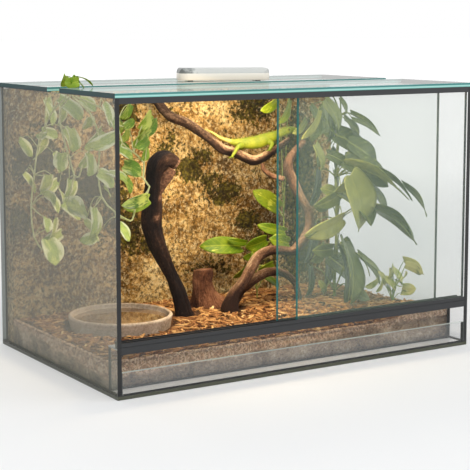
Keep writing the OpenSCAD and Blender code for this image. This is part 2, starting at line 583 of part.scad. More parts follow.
// Upright outline of width w whose shoulders curve in towards the top
module arched(w, inset) polygon([for (side = [-1, 1], a = [0:15:90]) let (b = side < 0 ? a : 90 - a)
    each concat(side < 0 && a == 0 ? [[-w / 2 + inset, lamp_foot_h + inset]] : [],
        [[side * (w / 2 - inset - crown * (1 - cos(b))), crown_z + (lamp_h - inset - crown_z) * sin(b)]],
        side > 0 && a == 90 ? [[w / 2 - inset, lamp_foot_h + inset]] : [])]);
module lamp_form(inset) intersection() {
    linear_extrude(lamp_h) round_plate(lamp_l - 2 * inset, lamp_d - 2 * inset, lamp_corner - inset);
    rotate([90, 0, 0]) linear_extrude(lamp_d, center = true) arched(lamp_l, inset);
    rotate([90, 0, 90]) linear_extrude(lamp_l, center = true) arched(lamp_d, inset);
}
module lamp_slab(z0, z1) translate([-lamp_l / 2, -lamp_d / 2, z0]) cube([lamp_l, lamp_d, z1 - z0]);
module lamp_shell(z0, z1) intersection() {
    difference() {
        lamp_form(0);
        lamp_form(lamp_wall);
    }
    lamp_slab(z0, z1);
}
board_t = 1.6;
board_z = lamp_split + 0.3;
board_l = lamp_l - 2 * lamp_corner;
board_w = lamp_d - 2 * lamp_wall - 2 * crown;
screw_x = board_l / 2 - 6;
screw_y = board_w / 2 - 5;
module at_screws() for (x = [-1, 1], y = [-1, 1]) translate([x * screw_x, y * screw_y]) children();

inlet_r = 4;
inlet_bore = 2.8;
inlet_l = 10;
inlet_z = (lamp_foot_h + lamp_split) / 2;
module at_inlet() translate([lamp_l / 2, 0, inlet_z]) rotate([0, -90, 0]) children();

module lamp_tray() color([0.96, 0.95, 0.90]) on_lamp() difference() {
    lamp_shell(lamp_foot_h, lamp_split);
    at_inlet() translate([0, 0, -1]) cylinder(r = inlet_r + 0.05, h = inlet_l + 2, $fn = 48);
}
module lamp_cover() color("#b9bcbb") on_lamp() {
    lamp_shell(lamp_split, lamp_h);
    at_screws() translate([0, 0, board_z + board_t]) difference() {
        cylinder(r = 3, h = lamp_h - lamp_wall - board_z - board_t, $fn = 32);
        translate([0, 0, -1]) cylinder(r = 1.35, h = 4, $fn = 32);
    }
}
module lamp_board() color("#e9ece8") on_lamp() translate([0, 0, board_z]) difference() {
    linear_extrude(board_t) square([board_l, board_w], center = true);
    at_screws() translate([0, 0, -1]) cylinder(r = 1.6, h = board_t + 2, $fn = 32);
}
led_w = 3.5;
led_pitch = 9;
module lamp_leds() color("#f6e7a2") on_lamp() translate([0, 0, board_z - 1]) {
    count = floor((2 * screw_x - 12) / led_pitch);
    for (k = [0:count - 1], y = [-1, 1])
        translate([(k - (count - 1) / 2) * led_pitch - led_w / 2, y * 7 - led_w / 2, 0])
            cube([led_w, led_w, 1]);
}
module lamp_driver() color("#30343a") on_lamp() translate([-17, -8, board_z + board_t])
    cube([34, 16, lamp_h - lamp_wall - board_z - board_t - 0.6]);
module lamp_screws() color("#8d9196") on_lamp() at_screws() translate([0, 0, board_z - 1.4]) {
    cylinder(r = 2.5, h = 1.4, $fn = 32);
    cylinder(r = 1.3, h = 1.4 + board_t + 2.4, $fn = 32);
}
module lamp_feet() color("#26282b") on_lamp()
    for (x = [-1, 1], y = [-1, 1]) translate([x * (lamp_l / 2 - 18), y * (lamp_d / 2 - 12)])
        cylinder(r = 4, h = lamp_foot_h, $fn = 32);
module lamp_inlet() color("#17181a") on_lamp() at_inlet() difference() {
    translate([0, 0, 0.4]) cylinder(r = inlet_r, h = inlet_l, $fn = 48);
    translate([0, 0, -1]) cylinder(r = inlet_bore, h = inlet_l - 1, $fn = 48);
}

// Round pockets in the chips: middle x, y and radius of what stands there
function foot(ring, play = 1) = let (q = ring_spot(ring)) [q[0], q[1], q[3] * (1 + 2 * bark_lumps) + play];
feet = [foot(trunk_path[0]), foot(leaning_path[0]), foot(stick_path[0]), foot(at(stick_path, 99)),
        foot(stump_path[0]), [bowl_at[0], bowl_at[1], bowl_r + seat],
        foot(concat(low_plant_vine[0], 1.5)), foot(concat(tall_vine[0], 2.5)),
        foot(concat(pothos_vine[0], 1.5))];

floor_pane();
base_seam();
left_pane();
right_pane();
back_pane();
rear_corner_seams();
sill_pane();
bed_wall_pane();
low_pane_seams();
left_edge_strip();
right_edge_strip();
top_seam();
top_front_pane();
top_rear_pane();
vent_strip();
bottom_runner();
top_runner();
front_door();
rear_door();
cork_wall();
soil_bed();
bark_chips();
water_bowl();
bowl_water();
main_trunk();
upper_branch();
leaning_branch();
low_stick();
cross_twig();
cork_stump();
hanging_vines();
hanging_leaves();
sprout_stalk();
sprout_leaves();
low_plant_stalks();
low_plant_leaves();
tall_plant_stalks();
tall_plant_leaves();
pothos_stalks();
pothos_leaves();
lizard_figure();
lamp_tray();
lamp_cover();
lamp_board();
lamp_leds();
lamp_driver();
lamp_screws();
lamp_feet();
lamp_inlet();
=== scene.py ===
import math
import bpy
import numpy as np
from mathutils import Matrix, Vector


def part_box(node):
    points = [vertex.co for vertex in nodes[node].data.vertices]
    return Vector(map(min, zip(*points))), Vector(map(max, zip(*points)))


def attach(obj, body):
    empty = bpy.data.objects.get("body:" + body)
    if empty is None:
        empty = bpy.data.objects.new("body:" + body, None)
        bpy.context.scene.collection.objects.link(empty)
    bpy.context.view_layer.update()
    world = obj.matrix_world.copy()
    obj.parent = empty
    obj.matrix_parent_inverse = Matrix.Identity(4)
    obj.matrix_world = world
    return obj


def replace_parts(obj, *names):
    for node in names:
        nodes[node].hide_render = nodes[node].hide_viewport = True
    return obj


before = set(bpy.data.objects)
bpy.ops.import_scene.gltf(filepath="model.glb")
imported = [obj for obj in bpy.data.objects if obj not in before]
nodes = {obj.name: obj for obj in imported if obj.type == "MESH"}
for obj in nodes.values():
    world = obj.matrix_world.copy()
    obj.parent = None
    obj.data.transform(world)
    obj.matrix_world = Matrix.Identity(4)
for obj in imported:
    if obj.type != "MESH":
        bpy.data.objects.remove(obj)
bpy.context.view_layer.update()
print("frame loaded,", len(nodes), "CAD nodes")

# ---- Shader maths


def tone(red, green, blue):
    # Shader colour of a screen colour given as 0 to 255
    return tuple((c / 255) ** 2.2 for c in (red, green, blue))


def maths(operation, swapped=False):
    # Operator that adds this Math node; swapped puts the other side first
    def operator(self, other):
        return self.calc(operation, *((other, self) if swapped else (self, other)))
    return operator


class Sock:
    # One output socket. An expression on it adds the Math nodes it needs.
    __add__ = __radd__ = maths("ADD")
    __mul__ = __rmul__ = maths("MULTIPLY")
    __sub__, __rsub__ = maths("SUBTRACT"), maths("SUBTRACT", True)
    __truediv__, __pow__ = maths("DIVIDE"), maths("POWER")

    def __init__(self, finish, out):
        self.finish, self.out = finish, out

    def __abs__(self):
        return self.calc("ABSOLUTE", self)

    def calc(self, operation, *values):
        return self.finish.sock("ShaderNodeMath", {"operation": operation}, dict(enumerate(values)))

    def fract(self):
        return self.calc("FRACT", self)

    def above(self, edge, soft):
        # 0 below edge - soft, 1 above edge + soft, straight between
        return self.finish.sock("ShaderNodeMapRange", {"clamp": True}, {
            "Value": self, "From Min": edge - soft, "From Max": edge + soft})


class Finish:
    # A material with one Principled shader. Keyword values that are the same all over go straight on it.
    def __init__(self, name, roughness=0.5, **uniform):
        self.material = bpy.data.materials.new(name)
        self.material.use_nodes = True
        self.tree = self.material.node_tree
        self.shader = self.tree.nodes["Principled BSDF"]
        self.place = self.add("ShaderNodeTexCoord").outputs["Object"]
        self.set("Roughness", roughness)
        for key, value in uniform.items():
            self.set(key.replace("_", " "), value)

    def set(self, socket, value):
        self.feed(self.shader.inputs[socket], value)

    def paint(self, colour):
        self.set("Base Color", colour)

    def feed(self, socket, value):
        if isinstance(value, Sock):
            value = value.out
        if isinstance(value, bpy.types.NodeSocket):
            self.tree.links.new(value, socket)
        elif isinstance(value, tuple) and len(value) == 3 and socket.type == "RGBA":
            socket.default_value = (*value, 1)
        else:
            socket.default_value = value

    def add(self, kind, settings=None, values=None):
        node = self.tree.nodes.new(kind)
        for key, value in (settings or {}).items():
            setattr(node, key, value)
        for key, value in (values or {}).items():
            self.feed(node.inputs[key], value)
        return node

    def sock(self, kind, settings=None, values=None, out=0):
        return Sock(self, self.add(kind, settings, values).outputs[out])

    def axes(self, vector=None):
        node = self.add("ShaderNodeSeparateXYZ", None, {0: vector or self.place})
        return [Sock(self, node.outputs[k]) for k in range(3)]

    def normal(self):
        return self.axes(self.add("ShaderNodeTexCoord").outputs["Normal"])

    def along(self):
        return self.add("ShaderNodeUVMap").outputs[0]

    def attribute(self, name):
        return self.sock("ShaderNodeAttribute", {"attribute_name": name}, None, 2)

    def stretched(self, by, vector=None):
        return self.add("ShaderNodeVectorMath", {"operation": "MULTIPLY"},
                        {0: vector or self.place, 1: by}).outputs[0]

    def noise(self, scale, detail=3, stretch=None, rough=0.55, vector=None):
        vector = self.stretched(stretch, vector) if stretch else self.place
        return self.sock("ShaderNodeTexNoise", None, {
            "Vector": vector, "Scale": scale, "Detail": detail, "Roughness": rough})

    def cells(self, scale):
        return self.sock("ShaderNodeTexVoronoi", None, {"Vector": self.place, "Scale": scale})

    def mix(self, mask, low, high):
        node = self.add("ShaderNodeMix", {"data_type": "RGBA"}, {0: mask})
        self.feed(node.inputs[6], low)
        self.feed(node.inputs[7], high)
        return node.outputs[2]

    def ramp(self, value, *stops):
        # Each stop is its place and a screen colour
        node = self.add("ShaderNodeValToRGB", None, {0: value})
        row = node.color_ramp.elements
        while len(row) < len(stops):
            row.new(0.5)
        for element, (at, *colour) in zip(row, stops):
            element.position, element.color = at, (*tone(*colour), 1)
        return node.outputs[0]

    def bump(self, height, depth, strength=1.0):
        self.set("Normal", self.add("ShaderNodeBump", None, {
            "Height": height, "Distance": depth, "Strength": strength}).outputs[0])


# ---- Surfaces from numpy arrays


def linked(name, data):
    thing = bpy.data.objects.new(name, data)
    bpy.context.scene.collection.objects.link(thing)
    return thing


def buildPiece(name, points, faces, finish, body="tank", uv=None, shade=None, smooth=True):
    # Mesh of corner points and groups of faces with the same number of corners
    points = np.asarray(points, float).reshape(-1, 3)
    corners = np.concatenate([group.ravel() for group in faces])
    sizes = np.concatenate([np.full(len(group), group.shape[1]) for group in faces])
    mesh = bpy.data.meshes.new(name)
    mesh.vertices.add(len(points))
    mesh.vertices.foreach_set("co", points.ravel())
    mesh.loops.add(len(corners))
    mesh.loops.foreach_set("vertex_index", corners.astype(np.int32))
    mesh.polygons.add(len(sizes))
    mesh.polygons.foreach_set("loop_start", (np.cumsum(sizes) - sizes).astype(np.int32))
    mesh.update(calc_edges=True)
    mesh.polygons.foreach_set("use_smooth", np.full(len(sizes), smooth))
    if uv is not None:
        mesh.uv_layers.new(name="along").data.foreach_set("uv", np.asarray(uv, float)[corners].ravel())
    if shade is not None:
        mesh.attributes.new("shade", "FLOAT", "POINT").data.foreach_set("value", np.asarray(shade, float))
    mesh.materials.append(finish.material)
    piece = linked(name, mesh)
    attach(piece, body)
    return piece


def gridFaces(rows, columns, closed=False):
    # Quads between the points of a grid that is stored row by row
    i, j = np.meshgrid(np.arange(rows - 1), np.arange(columns if closed else columns - 1), indexing="ij")
    k = (j + 1) % columns
    return np.stack([i * columns + j, i * columns + k, (i + 1) * columns + k, (i + 1) * columns + j],
                    -1).reshape(-1, 4)


def rimOf(rows, columns):
    # Grid places round the edge, in order
    return np.concatenate([np.arange(columns), np.arange(1, rows) * columns + columns - 1,
                           (rows - 1) * columns + np.arange(columns - 2, -1, -1),
                           np.arange(rows - 2, 0, -1) * columns])


def bandFaces(a, b):
    # Quads between two closed rows of places
    return np.stack([a, b, np.roll(b, -1), np.roll(a, -1)], -1)


def ripple(points, size, seed, octaves=3):
    # Sum of waves in scattered directions, each octave half as long and 0.55 as high as the one before
    rng = np.random.default_rng(seed)
    total = np.zeros(points.shape[:-1])
    for k in range(octaves):
        for way in rng.normal(size=(5, 3)):
            way *= 2 * np.pi / size * 2 ** k / np.linalg.norm(way)
            total += 0.55 ** k * np.sin(points @ way + rng.uniform(0, 6.28)) / 5
    return total


def smoothPath(rows, steps):
    # Curve through the rows, each span a cubic whose slope at a row is half the way between its neighbours
    p = np.array(rows, float)
    q = np.concatenate([p[:1], p, p[-1:]])
    t = np.linspace(0, 1, steps, endpoint=False)[:, None]
    spans = [(2 * b + (c - a) * t + (2 * a - 5 * b + 4 * c - d) * t ** 2
              + (3 * b - a - 3 * c + d) * t ** 3) / 2 for a, b, c, d in zip(q, q[1:], q[2:], q[3:])]
    return np.concatenate(spans + [p[-1:]])


def tubeSurface(path, across, upright, sides, side=(0, 1, 0)):
    # Rings round a path: path + across * cos(a) * u + upright * sin(a) * v, where u and v stand across it
    ahead = np.gradient(path, axis=0)
    ahead /= np.linalg.norm(ahead, axis=1, keepdims=True)
    u = np.cross(ahead, side)
    u /= np.linalg.norm(u, axis=1, keepdims=True)
    v = np.cross(ahead, u)
    a = np.linspace(0, 2 * np.pi, sides, endpoint=False)
    across, upright = (np.reshape(size, (len(path), -1)) for size in (across, upright))
    return (path[:, None] + (across * np.cos(a))[..., None] * u[:, None]
            + (upright * np.sin(a))[..., None] * v[:, None])


def tubeFaces(rows, sides):
    # The tube's quads and a fan on each end, whose middle points come after the rings
    end, last, ring = rows * sides, (rows - 1) * sides, np.arange(sides)
    near = np.stack([ring, np.full(sides, end), np.roll(ring, -1)], -1)
    far = np.stack([last + ring, last + np.roll(ring, -1), np.full(sides, end + 1)], -1)
    return gridFaces(rows, sides, True), np.concatenate([near, far])


def tubePoints(rings):
    return np.concatenate([rings.reshape(-1, 3), [rings[0].mean(0), rings[-1].mean(0)]])


def joined(parts):
    # Points, faces, uv and shades of several pieces as one, with the places moved on
    points, quads, fans, uvs, shades = zip(*parts)
    counts = [len(p) for p in points]
    firsts = np.cumsum([0] + counts[:-1])
    faces = [np.concatenate([group + first for group, first in zip(groups, firsts)])
             for groups in (quads, fans)]
    shades = [np.broadcast_to(shade, count) for shade, count in zip(shades, counts)]
    return np.concatenate(points), faces, np.concatenate(uvs), np.concatenate(shades)


def joinedPiece(name, parts, finish):
    points, faces, uv, shade = joined(parts)
    return buildPiece(name, points, faces, finish, uv=uv, shade=shade)


mm = 0.001
bedTop, footGap = 0.040, 0.0002


def plain(finish, *group):
    # These CAD nodes keep their shape and take the finish
    for node in group:
        nodes[node].data.materials.clear()
        nodes[node].data.materials.append(finish.material)


def boxOf(node):
    return [np.array(corner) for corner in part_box(node)]


def boxGrid(node, across, rows, axis=1):
    # Corners of the node's box, and a grid over its x and the axis
    lo, hi = boxOf(node)
    return lo, hi, *np.meshgrid(np.linspace(lo[0], hi[0], across), np.linspace(lo[axis], hi[axis], rows))


def wave(t):
    # 0 below 0, 1 above 1, half a cosine between
    return 0.5 - 0.5 * np.cos(np.pi * np.clip(t, 0, 1))


def plan(rows):
    # Places drawn in mm over the bed, in metres
    rows = np.array(rows, float)
    rows[:, 2] += bedTop / mm
    return rows * mm


def slabPiece(name, top, axis, level, finish, shade=None):
    # A grid of points and its rim carried along the axis to the level, closed there by a flat fan
    rows, columns = top.shape[:2]
    rim = rimOf(rows, columns)
    flat = top.reshape(-1, 3)
    base = flat[rim]
    base[:, axis] = level
    ring = len(flat) + np.arange(len(rim))
    fan = np.stack([np.roll(ring, -1), ring, np.full(len(rim), ring[-1] + 1)], -1)
    if shade is not None:
        shade = np.concatenate([shade.ravel(), np.zeros(len(rim) + 1)])
    return buildPiece(name, np.concatenate([flat, base, [base.mean(0)]]),
                      [np.concatenate([gridFaces(rows, columns), bandFaces(rim, ring)]), fan],
                      finish, shade=shade)


def rounded(rows, steps, sides, side=(0, 1, 0), flat=1.0):
    # Closed tube of smooth rows, with the radius of each
    rows = smoothPath(rows, steps)
    path, r = plan(rows[:, :3]), rows[:, 3] * mm
    rings = tubeSurface(path, r * flat, r, sides, side)
    quads, fans = tubeFaces(len(path), sides)
    return tubePoints(rings), quads, fans, np.zeros((len(path) * sides + 2, 2))


# ---- Glass: clear faces, tinted edges

# Alpha of the edges, of the top at a low angle and from above, and of the doors; then the top's lower face
# and thickness, and the x past which the doors' ends are dark
# The faces' alpha of the top and the doors is a painted reflection of the room, a haze over the glass
glass = {"edge": 0.95, "top": 0.66, "steep": 0.08, "door": 0.073, "topZ": 0.395, "topThick": 0.006,
         "rightEnds": 0.10}


def glassFinish(name, axis, reflectionVeil, reflectionColour, edgeColour, **uniform):
    # Alpha on faces across the axis = a veil of painted reflection times a streaky noise, edge on the others.
    # Colour there = the painted reflection's colour, edgeColour on the others.
    finish = Finish(name, 0.06, IOR=1.45, **uniform)
    face = abs(finish.normal()[axis]).above(0.5, 0.02)
    streak = finish.noise(6, 2, (1, 1, 0.4)) * 0.3 + 0.85
    finish.set("Alpha", face * streak * reflectionVeil + (1 - face) * glass["edge"])
    finish.paint(finish.mix(face, edgeColour, reflectionColour))
    return finish


def topGlass(name):
    # Front edges: teal, pale and mint bands over the height. Other edges slate. Flat faces clear from above
    # and milky at a low angle, a painted reflection of the room, by the cube of the facing value.
    reflectionColour, slate = tone(192, 192, 184), tone(62, 80, 82)
    finish = glassFinish(name, 2, glass["top"], reflectionColour, slate, Specular_IOR_Level=0.02)
    band = finish.ramp((finish.axes()[2] - glass["topZ"]) / glass["topThick"],
                       (0.0, 96, 150, 142), (0.16, 150, 208, 198), (0.42, 172, 216, 208),
                       (0.55, 86, 146, 142), (0.85, 66, 124, 122), (1.0, 150, 190, 186))
    normal = finish.normal()
    face, front = abs(normal[2]).above(0.5, 0.02), (normal[1] * -1).above(0.5, 0.02)
    finish.paint(finish.mix(face, finish.mix(front, slate, band), reflectionColour))
    low = finish.sock("ShaderNodeLayerWeight", None, {"Blend": 0.5}, 1) ** 3
    reflectionVeil = low * (glass["top"] - glass["steep"]) + glass["steep"]
    finish.set("Alpha", face * reflectionVeil + (1 - face) * glass["edge"])
    return finish


def doorGlass(name):
    # Teal edges, dark grey on the ends that stand to the right; pale faces, a painted reflection of the room
    finish = glassFinish(name, 1, glass["door"], tone(172, 192, 172), tone(60, 128, 130))
    ends = finish.axes()[0].above(glass["rightEnds"], 0.01) * (1 - abs(finish.normal()[1]))
    shown = finish.shader.inputs["Base Color"].links[0].from_socket
    finish.paint(finish.mix(ends, shown, tone(66, 74, 78)))
    return finish


for node in ("top_front_pane", "top_rear_pane"):
    plain(topGlass("glass_" + node), node)
for node in ("front_door", "rear_door"):
    plain(doorGlass("glass_" + node), node)
# Each pane's veil and its colour are a painted reflection of the room: grey and heaviest on the left pane,
# nearly white on the floor pane
for node, name, axis, reflectionVeil, reflectionColour, edgeColour in (
        ("left_pane", "left", 0, 0.29, tone(156, 156, 143), tone(150, 160, 160)),
        ("right_pane", "right", 0, 0.085, tone(150, 160, 160), tone(70, 110, 104)),
        ("back_pane", "back", 1, 0.085, tone(150, 168, 168), tone(90, 140, 130)),
        ("sill_pane", "sill_pane", 1, 0.065, tone(226, 228, 226), tone(206, 214, 206)),
        ("bed_wall_pane", "bed_wall_pane", 1, 0.065, tone(226, 228, 226), tone(206, 214, 206)),
        ("floor_pane", "floor", 2, 0.75, tone(240, 240, 238), tone(74, 76, 62))):
    plain(glassFinish("glass_" + name, axis, reflectionVeil, reflectionColour, edgeColour), node)
print("glass done")

# ---- Sealant, edge strips, runners, vent strip


def plasticFinish(name, colour, roughness):
    # Roughness = value + 0.12 of a fine noise, which also lights the colour by up to a quarter and bumps it
    finish = Finish(name)
    fine = finish.noise(900, 2)
    finish.set("Roughness", fine * 0.12 + roughness)
    finish.paint(finish.mix(fine, colour, tuple(c * 1.25 for c in colour)))
    finish.bump(fine, 0.0001, 0.4)
    return finish


for name, colour, roughness, *group in (
        ("sealant", tone(30, 31, 32), 0.45, "base_seam", "rear_corner_seams", "top_seam"),
        ("low_sealant", tone(70, 74, 72), 0.4, "low_pane_seams"),
        ("edge_strip", tone(24, 25, 26), 0.4, "left_edge_strip", "right_edge_strip"),
        ("runner", tone(40, 41, 43), 0.42, "bottom_runner", "top_runner"),
        ("vent_sheet", tone(176, 180, 182), 0.4, "vent_strip"),
        ("lamp_board", tone(226, 230, 226), 0.5, "lamp_board"),
        ("lamp_driver", tone(60, 64, 66), 0.5, "lamp_driver"),
        ("lamp_foot", tone(40, 42, 44), 0.7, "lamp_feet"),
        ("lamp_inlet", tone(40, 42, 44), 0.45, "lamp_inlet")):
    plain(plasticFinish(name, colour, roughness), *group)
print("strips done")

# ---- Cork wall

# The hollow has its place, radius and edge; a spot of moss and painted shade its place, two half sizes and
# strength. Some spots are moss; others are painted shade where the wall lies dark behind the leaves and on
# its left part.
cork = {
    "columns": 290, "rows": 190, "relief": 0.013, "thick": 0.022,
    "cracks": 0.003, "crackSizes": (0.055, 0.030),
    "hollow": (-0.051, 0.370, 0.046, 0.016), "flatFoot": 0.061, "footFade": 0.060,
    "mossAndShade": ((0.017, 0.256, 0.030, 0.022, 0.80), (0.038, 0.272, 0.020, 0.016, 0.70),
        (0.076, 0.212, 0.036, 0.020, 0.84), (0.052, 0.232, 0.026, 0.016, 0.72),
        (0.138, 0.350, 0.040, 0.026, 0.80), (0.108, 0.342, 0.024, 0.014, 0.66),
        (0.123, 0.160, 0.026, 0.020, 0.80), (0.160, 0.112, 0.040, 0.040, 0.66),
        (-0.096, 0.165, 0.026, 0.040, 0.84), (-0.062, 0.135, 0.022, 0.020, 0.66),
        (-0.100, 0.352, 0.030, 0.026, 0.74), (-0.030, 0.300, 0.022, 0.030, 0.56),
        (-0.017, 0.340, 0.014, 0.020, 0.56), (0.044, 0.088, 0.050, 0.018, 0.60),
        (-0.255, 0.285, 0.060, 0.036, 0.80), (-0.175, 0.235, 0.070, 0.040, 0.84),
        (-0.290, 0.190, 0.030, 0.034, 0.78), (-0.130, 0.205, 0.036, 0.060, 0.74),
        (-0.220, 0.335, 0.050, 0.016, 0.62), (0.225, 0.250, 0.045, 0.110, 0.80),
        (0.240, 0.110, 0.045, 0.060, 0.84), (0.040, 0.300, 0.220, 0.160, 0.20))}


def corkFinish():
    # Brown to gold and cream by broad, patchy and fine noise; flecks of brown; dark olive where its shade is
    # high, which is moss and partly painted shade
    finish = Finish("cork", 0.92)
    broad, patchy = finish.noise(11, 2), finish.noise(44, 4, rough=0.6)
    fine, flecks = finish.noise(320, 4, rough=0.8), finish.noise(170, 4, (1.0, 1.0, 0.85), 0.75)
    depth = finish.attribute("shade")
    sand = finish.ramp(broad * 0.30 + patchy * 0.26 + fine * 0.44,
                       (0.38, 74, 52, 18), (0.445, 124, 90, 42), (0.50, 172, 134, 76),
                       (0.56, 212, 180, 120), (0.65, 242, 226, 182))
    crumbs = finish.noise(190, 4, (1.0, 1.0, -0.9), 0.8)
    sand = finish.mix(crumbs.above(0.545, 0.03) * 0.55, sand, tone(240, 222, 176))
    pitted = finish.mix((flecks * 0.7 + fine * 0.3).above(0.525, 0.025) * 0.78, sand, tone(56, 38, 12))
    mossAndShade = (depth * 1.2 + (patchy - 0.5) * 1.6 + (flecks - 0.5) * 2.2 + (fine - 0.5) * 1.2).above(0.58, 0.10)
    green = finish.ramp(finish.noise(240, 3) * 0.7 + patchy * 0.3, (0.38, 16, 14, 2),
                        (0.5, 46, 42, 8), (0.62, 100, 90, 26))
    finish.paint(finish.mix(mossAndShade * 0.95, pitted, green))
    finish.bump(fine * 0.9 + flecks * 0.5 + patchy * 0.6, 0.004, 0.9)
    return finish


def corkWall():
    # y = front - relief * lumps + cracks, where lumps are sums of sines, less in the hollow and at the foot,
    # and cracks are where a ripple is near 0. Moss and painted shade = the strongest of their spots,
    # e^(-0.6 * distance^3) each.
    lo, hi = boxOf("cork_wall")
    u, v = np.meshgrid(np.linspace(0, 1, cork["columns"]), np.linspace(0, 1, cork["rows"]))
    x, z = lo[0] + u * (hi[0] - lo[0]), lo[2] + v * (hi[2] - lo[2])
    hx, hz, hr, edge = cork["hollow"]
    turn = np.radians
    lumps = (0.5 + 0.22 * np.sin(turn(690 * u + 95 * np.sin(turn(560 * v))))
             + 0.17 * np.sin(turn(980 * v + 120 * np.sin(turn(430 * u)) + 40))
             + 0.11 * np.sin(turn(1900 * u + 70)) * np.cos(turn(1650 * v)))
    lumps *= ((1 - wave((hr - np.hypot(x - hx, z - hz)) / edge))
              * wave((z - lo[2] - cork["flatFoot"]) / cork["footFade"]))
    flat = np.stack([x, 0 * x, z], -1)
    broad, narrow = cork["crackSizes"]
    crack = (np.clip(1 - 7 * np.abs(ripple(flat, broad, 9, 3)), 0, 1)
             + 0.35 * np.abs(ripple(flat, narrow, 4, 4)))
    y = hi[1] - cork["thick"] - cork["relief"] * lumps + cork["cracks"] * crack
    mossAndShade = np.zeros_like(x)
    for mx, mz, wide, tall, amount in cork["mossAndShade"]:
        away = ((x - mx) / wide) ** 2 + ((z - mz) / tall) ** 2
        mossAndShade = np.maximum(mossAndShade, amount * np.exp(-away ** 1.5 * 0.6))
    return slabPiece("cork_face", np.stack([x, y, z], -1), 1, hi[1], corkFinish(), mossAndShade)


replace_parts(corkWall(), "cork_wall")
print("cork done")

# ---- Soil and chips

# The mound has its place, radius and top, a clear spot its place and radius. The chips against the glass end
# at a level that climbs to the right and to the back, and wavers.
bed = {"mound": (0.2517, -0.1237, 0.110, 0.054), "layer": 0.0435, "sink": 0.0008,
       "chips": 5200, "seed": 12, "tilt": 0.13, "roll": 0.35, "piled": 0.0026,
       "length": (0.008, 0.021), "width": (0.0020, 0.0044), "thick": (0.0014, 0.0028),
       "margin": 0.0025, "spare": 0.001, "taper": ((0.3, 0.8), (0.2, 0.7)),
       "clear": ((-0.175, 0.040, 0.079), (-0.059, 0.048, 0.0155), (0.018, 0.038, 0.0145),
                 (0.036, 0.056, 0.0085), (0.160, 0.057, 0.0065), (0.006, 0.099, 0.026)),
       "clearGap": 0.0001, "clearEdge": 0.003,
       "dip": 0.0006, "dipRipple": 0.0005, "crumbs": 0.0011, "crumbSize": 0.012,
       "level": 0.0295, "climb": 0.040, "climbBack": 0.055, "front": 0.153, "waver": 0.024,
       "insideX": 0.2895, "insideY": -0.1505}


def bedHeight(x, y):
    # Layer height, the mound as half a cosine over its radius, and pockets round what stands on the soil
    mx, my, radius, top = bed["mound"]
    share = wave(1 - np.hypot(x - mx, y - my) / radius)
    z, low = bed["layer"] - bed["sink"] + (top - bed["layer"]) * share, bedTop + bed["clearGap"]
    for px, py, r in bed["clear"]:
        z = low + (z - low) * wave((np.hypot(x - px, y - py) - r) / bed["clearEdge"])
    return z


def flakes(finish):
    # Colour of flat chips: three layers of cells drawn out and turned, a tan of its own for each lighter cell
    colour = finish.ramp(finish.noise(300, 3), (0.4, 148, 116, 94), (0.6, 206, 170, 140))
    for turn in (0.45, -0.65, 1.35):
        turned = finish.add("ShaderNodeMapping", None, {"Vector": finish.place, "Rotation": (turn, turn, 0)})
        cells = finish.add("ShaderNodeTexVoronoi", None, {
            "Vector": finish.stretched((1.0, 1.0, 4.2), turned.outputs[0]), "Scale": 130})
        own = finish.axes(cells.outputs["Color"])[0]
        inside = (1 - Sock(finish, cells.outputs["Distance"])).above(0.56, 0.06) * own.above(0.45, 0.02)
        tan = finish.ramp(own, (0.45, 206, 162, 130), (0.65, 234, 198, 164), (0.9, 238, 212, 180))
        colour = finish.mix(inside, colour, tan)
    return colour


def soilFinish():
    # Brown to tan by two noises, with lighter grit where a cell pattern is near its centres. Chips lie
    # against the glass down to a line that climbs from the left end to the right.
    finish = Finish("soil", 0.95)
    broad, fine = finish.noise(26, 4), finish.noise(260, 4, rough=0.7)
    across, depth, height = finish.axes()
    low = finish.ramp(broad * 0.55 + fine * 0.45, (0.38, 92, 72, 56), (0.47, 146, 120, 96),
                      (0.54, 182, 156, 128), (0.62, 222, 200, 170))
    line = (height + (broad - 0.5) * bed["waver"] - across * bed["climb"]
            - (depth + bed["front"]) * bed["climbBack"])
    colour = finish.mix(line.above(bed["level"], 0.002), low, flakes(finish))
    grit = (1 - finish.cells(420)).above(0.80, 0.06) * finish.noise(90, 2).above(0.5, 0.05)
    finish.paint(finish.mix(grit, colour, tone(206, 168, 96)))
    finish.bump(fine + broad * 0.4, 0.003, 0.9)
    return finish


def chipFinish():
    # Gold to brown by the chip's own shade, streaked along it by a fine noise
    finish = Finish("bark_chip", 0.85)
    shade, fine = finish.attribute("shade"), finish.noise(330, 4, rough=0.7)
    colour = finish.ramp(shade * 0.8 + fine * 0.3 - 0.05, (0.08, 48, 28, 16), (0.28, 100, 63, 38),
                         (0.50, 158, 110, 66), (0.72, 204, 158, 100), (0.95, 236, 206, 152))
    finish.paint(colour)
    finish.bump(fine, 0.0006, 0.8)
    return finish


def litterFinish():
    # Between the chips: brown crumbs by noise over nearly black, which is painted shade in the gaps. Flat
    # chips on its sides.
    finish = Finish("chip_litter", 0.95)
    fine = finish.noise(300, 4, rough=0.7)
    crumbs = finish.ramp(fine, (0.36, 34, 22, 14), (0.5, 74, 50, 32), (0.66, 140, 100, 64))
    x, y, _ = finish.axes()
    inner = (1 - abs(x).above(bed["insideX"], 0.001)) * (y + 1).above(1 + bed["insideY"], 0.001)
    level = abs(finish.normal()[2]).above(0.5, 0.2)
    finish.paint(finish.mix(level * inner, flakes(finish), crumbs))
    finish.bump(fine, 0.002, 0.9)
    return finish


def soilBed():
    # The soil's block, whose top sinks by a ripple of about 1 mm inside its rim
    lo, hi, x, y = boxGrid("soil_bed", 120, 70)
    top = np.stack([x, y, np.full_like(x, hi[2])], -1)
    rise = np.clip(np.minimum(1 - np.abs(x / lo[0]), 1 - np.abs(y / lo[1])) / 0.02, 0, 1)
    top[..., 2] -= (bed["dip"] + bed["dipRipple"] * ripple(top, 0.02, 3)) * rise
    return slabPiece("soil_block", top, 2, lo[2], soilFinish())


